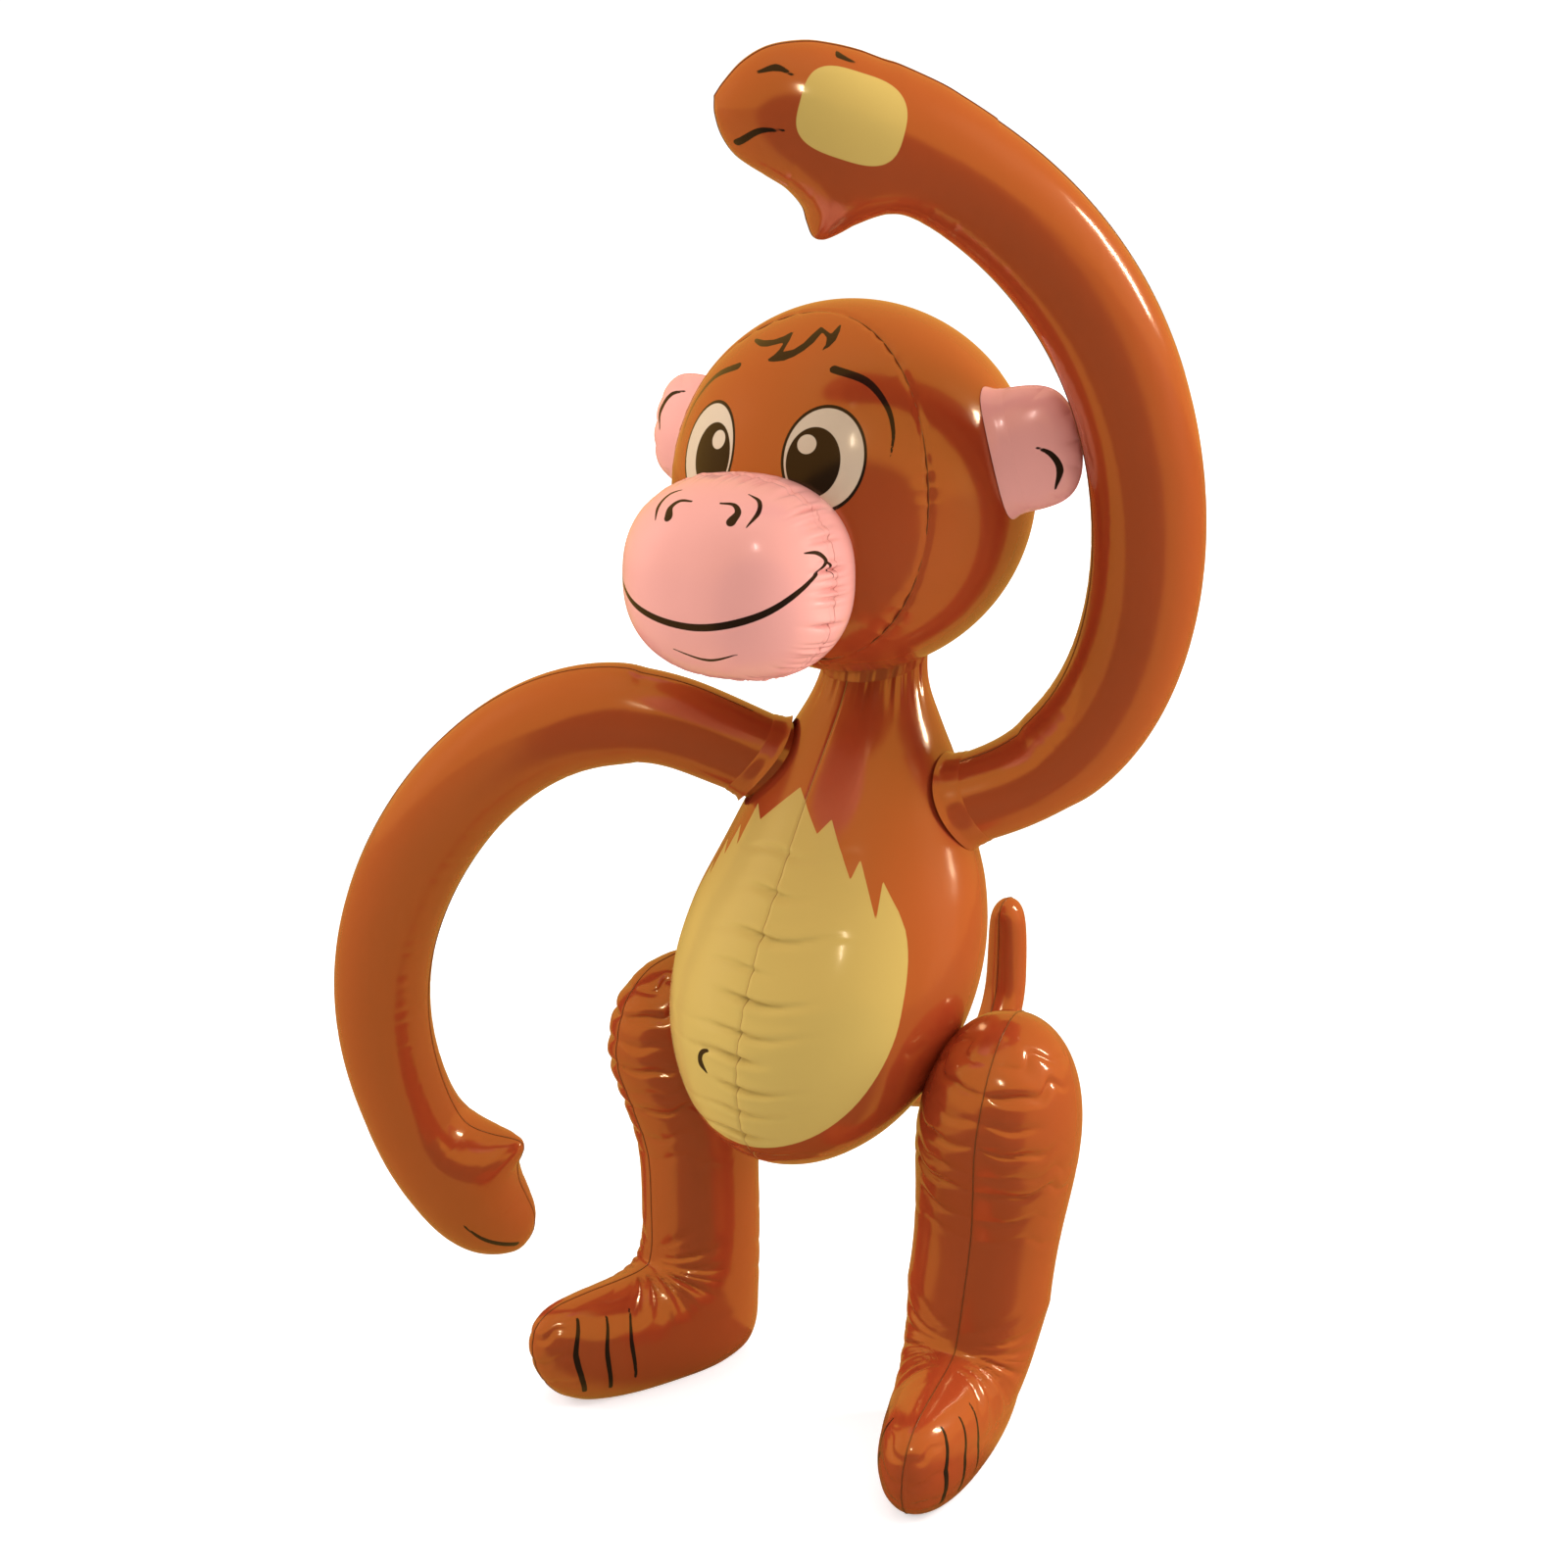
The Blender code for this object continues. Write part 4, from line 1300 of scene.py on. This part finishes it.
place_piece(torso, brown_printed, "torso")
place_piece(head, brown_head, "head")
place_piece(muzzle, pink_printed, "muzzle")
place_piece(tail, brown_plain, "tail")
for arm_name in ARM_POSE:
    place_piece(arms[arm_name][0], brown_printed, arm_name)
    place_piece(arms[arm_name + "_weld"], weld_brown)
    place_piece(arms[arm_name + "_flange"], brown_plain)
for leg_name in LEG_STANCE:
    place_piece(legs[leg_name][0], brown_foot, leg_name)
    place_piece(legs[leg_name + "_weld"], weld_brown)
for ear_name in EAR_STROKES:
    place_piece(ears[ear_name][0], pink_printed, ear_name)
    place_piece(ears[ear_name + "_weld"], pink_plain)
    place_piece(ears[ear_name + "_flange"], pink_plain)
place_piece(belly_weld, weld_cream)
place_piece(back_weld, weld_brown)
place_piece(face_weld, weld_brown)
place_piece(neck_ring, brown_plain)
place_piece(muzzle_weld, pink_plain)
place_piece(tail_weld, weld_brown)

# %% [markdown]
# ## The studio floor
# The floor is pale and fades into a pale room. Glossy vinyl shows all that stands round it,
# and a real studio is not white all over. So the floor looks white to the camera, while mirror
# rays see it warm on the light side and dark on the other. Light Path tells the rays apart,
# which keeps the film's colour deep without dark cards in the picture.


# %% The studio floor
FLOOR_RADIUS = 9.0
floor_mesh = bmesh.new()
bmesh.ops.create_circle(floor_mesh, cap_ends=True, radius=FLOOR_RADIUS, segments=96)
floor_data = bpy.data.meshes.new("floor")
floor_mesh.to_mesh(floor_data)
floor_mesh.free()
floor = bpy.data.objects.new("floor", floor_data)
bpy.context.scene.collection.objects.link(floor)
floor_paint = bpy.data.materials.new("floor_paint")
floor_paint.use_nodes = True
paint = floor_paint.node_tree.nodes["Principled BSDF"]
paint.inputs["Roughness"].default_value = 0.9
paint.inputs["Specular IOR Level"].default_value = 0.0
paint.inputs["Emission Color"].default_value = (1.0, 1.0, 0.99, 1.0)
ground = floor_paint.node_tree
ROOM_GLOW, DARK_GLOW = 0.84, 0.20
DARK_SIDE = Vector((math.sin(CAMERA_TURN), -math.cos(CAMERA_TURN), -0.45)).normalized()
ROOM_TINT = (1.0, 0.55, 0.10, 1.0)


def glow_zone(tree, value, near, far, low, high):
    """Brightness of a direction: low around the dark side, high beyond its soft edge."""
    zone = new_node(tree, "ShaderNodeMapRange", interpolation_type="SMOOTHSTEP")
    zone.inputs["From Min"].default_value = far
    zone.inputs["From Max"].default_value = near
    zone.inputs["To Min"].default_value = high
    zone.inputs["To Max"].default_value = low
    tree.links.new(value, zone.inputs["Value"])
    return zone.outputs["Result"]


def blend(tree, factor, first, second, kind="FLOAT"):
    """Mix node: the first value where the factor is zero, the second where it is one."""
    mix = new_node(tree, "ShaderNodeMix", data_type=kind)
    tree.links.new(factor, mix.inputs["Factor"])
    for socket, value in (("A", first), ("B", second)):
        if isinstance(value, (float, tuple)):
            mix.inputs[socket].default_value = value
        else:
            tree.links.new(value, mix.inputs[socket])
    return mix.outputs["Result"]


seen_by = new_node(ground, "ShaderNodeLightPath")
spot = new_node(ground, "ShaderNodeTexCoord")
far = new_node(ground, "ShaderNodeVectorMath", operation="LENGTH")
ground.links.new(spot.outputs["Object"], far.inputs[0])
fade = new_node(ground, "ShaderNodeMapRange", interpolation_type="SMOOTHSTEP")
fade.inputs["From Min"].default_value = 0.5
fade.inputs["From Max"].default_value = 3.0
fade.inputs["To Min"].default_value = 0.50
fade.inputs["To Max"].default_value = 1.00
ground.links.new(far.outputs["Value"], fade.inputs["Value"])
around = new_node(ground, "ShaderNodeVectorMath", operation="NORMALIZE")
ground.links.new(spot.outputs["Object"], around.inputs[0])
onward = new_node(ground, "ShaderNodeVectorMath", operation="DOT_PRODUCT")
onward.inputs[1].default_value = Vector((DARK_SIDE.x, DARK_SIDE.y, 0.0)).normalized()
ground.links.new(around.outputs["Vector"], onward.inputs[0])
mirrored_glow = glow_zone(ground, onward.outputs["Value"], 0.80, 0.68, DARK_GLOW, 0.7 * ROOM_GLOW)
glossy = seen_by.outputs["Is Glossy Ray"]
white = (1.0, 1.0, 1.0, 1.0)
power = blend(ground, seen_by.outputs["Is Camera Ray"], 0.0, fade.outputs["Result"])
ground.links.new(blend(ground, glossy, power, mirrored_glow), paint.inputs["Emission Strength"])
ground.links.new(blend(ground, glossy, white, ROOM_TINT, "RGBA"), paint.inputs["Emission Color"])
pale, black = (0.75, 0.74, 0.73, 1.0), (0.0, 0.0, 0.0, 1.0)
ground.links.new(blend(ground, glossy, pale, black, "RGBA"), paint.inputs["Base Color"])
floor_data.materials.append(floor_paint)
print("floor", len(floor_data.polygons), "face, radius in metres", FLOOR_RADIUS)

# %% [markdown]
# ## The room
# The room gives soft light from all sides and is dimmer towards the dark side, which the film
# mirrors as its deep reddish middle. A picture of a studio could do this. A direction and two
# soft edges do it without any picture, and each can be set by itself.

# %% The room
world = bpy.data.worlds.new("studio")
bpy.context.scene.world = world
world.use_nodes = True
sky = world.node_tree
sky.nodes.clear()
SIDE_GLOW, FRONT_GLOW = 0.74, 0.54
aim = new_node(sky, "ShaderNodeTexCoord")
toward = new_node(sky, "ShaderNodeVectorMath", operation="DOT_PRODUCT")
toward.inputs[1].default_value = DARK_SIDE
sky.links.new(aim.outputs["Generated"], toward.inputs[0])
path_kind = new_node(sky, "ShaderNodeLightPath")
lit = glow_zone(sky, toward.outputs["Value"], 0.62, 0.30, FRONT_GLOW, SIDE_GLOW)
shown = glow_zone(sky, toward.outputs["Value"], 0.76, 0.66, DARK_GLOW, ROOM_GLOW)
strength = blend(sky, path_kind.outputs["Is Glossy Ray"], lit, shown)
strength = blend(sky, path_kind.outputs["Is Camera Ray"], strength, 1.1)
tint = blend(sky, path_kind.outputs["Is Glossy Ray"], white, ROOM_TINT, "RGBA")
glow = new_node(sky, "ShaderNodeBackground")
sky.links.new(tint, glow.inputs["Color"])
sky.links.new(strength, glow.inputs["Strength"])
result = new_node(sky, "ShaderNodeOutputWorld")
sky.links.new(glow.outputs["Background"], result.inputs["Surface"])


# %% [markdown]
# ## Soft boxes
# Broad boxes left, right and above shape the figure softly, and they stay out of the mirror
# rays, because a big white square on each limb would hide the colour. Two narrow strips are
# mirrored, and they give the crisp highlights.


# %% Soft boxes
def soft_box(name, place, size, power, mirrored=False):
    """Rectangular lamp aimed at the middle of the figure, out of the camera's sight."""
    light = bpy.data.lights.new(name, "AREA")
    light.shape = "RECTANGLE"
    light.size, light.size_y = size
    light.energy = power
    item = bpy.data.objects.new(name, light)
    bpy.context.scene.collection.objects.link(item)
    item.location = place
    look = Vector(MIDDLE) - Vector(place)
    item.rotation_euler = look.to_track_quat("-Z", "Y").to_euler()
    item.visible_camera = False
    item.visible_glossy = mirrored
    return item


MIDDLE = (0.0, 0.0, 0.32)
soft_box("box_left", (-1.5, -0.7, 0.9), (0.8, 1.3), 17.0)
soft_box("box_right", (1.30, 0.60, 0.85), (0.7, 1.5), 21.0)
soft_box("strip_right", (1.10, 0.90, 0.95), (0.05, 0.45), 4.0, mirrored=True)
soft_box("box_top", (0.1, -0.4, 1.9), (1.3, 1.1), 9.0)
soft_box("strip_front", (0.75, -1.25, 1.30), (0.05, 0.20), 1.2, mirrored=True)
bpy.context.scene.view_settings.view_transform = "Standard"
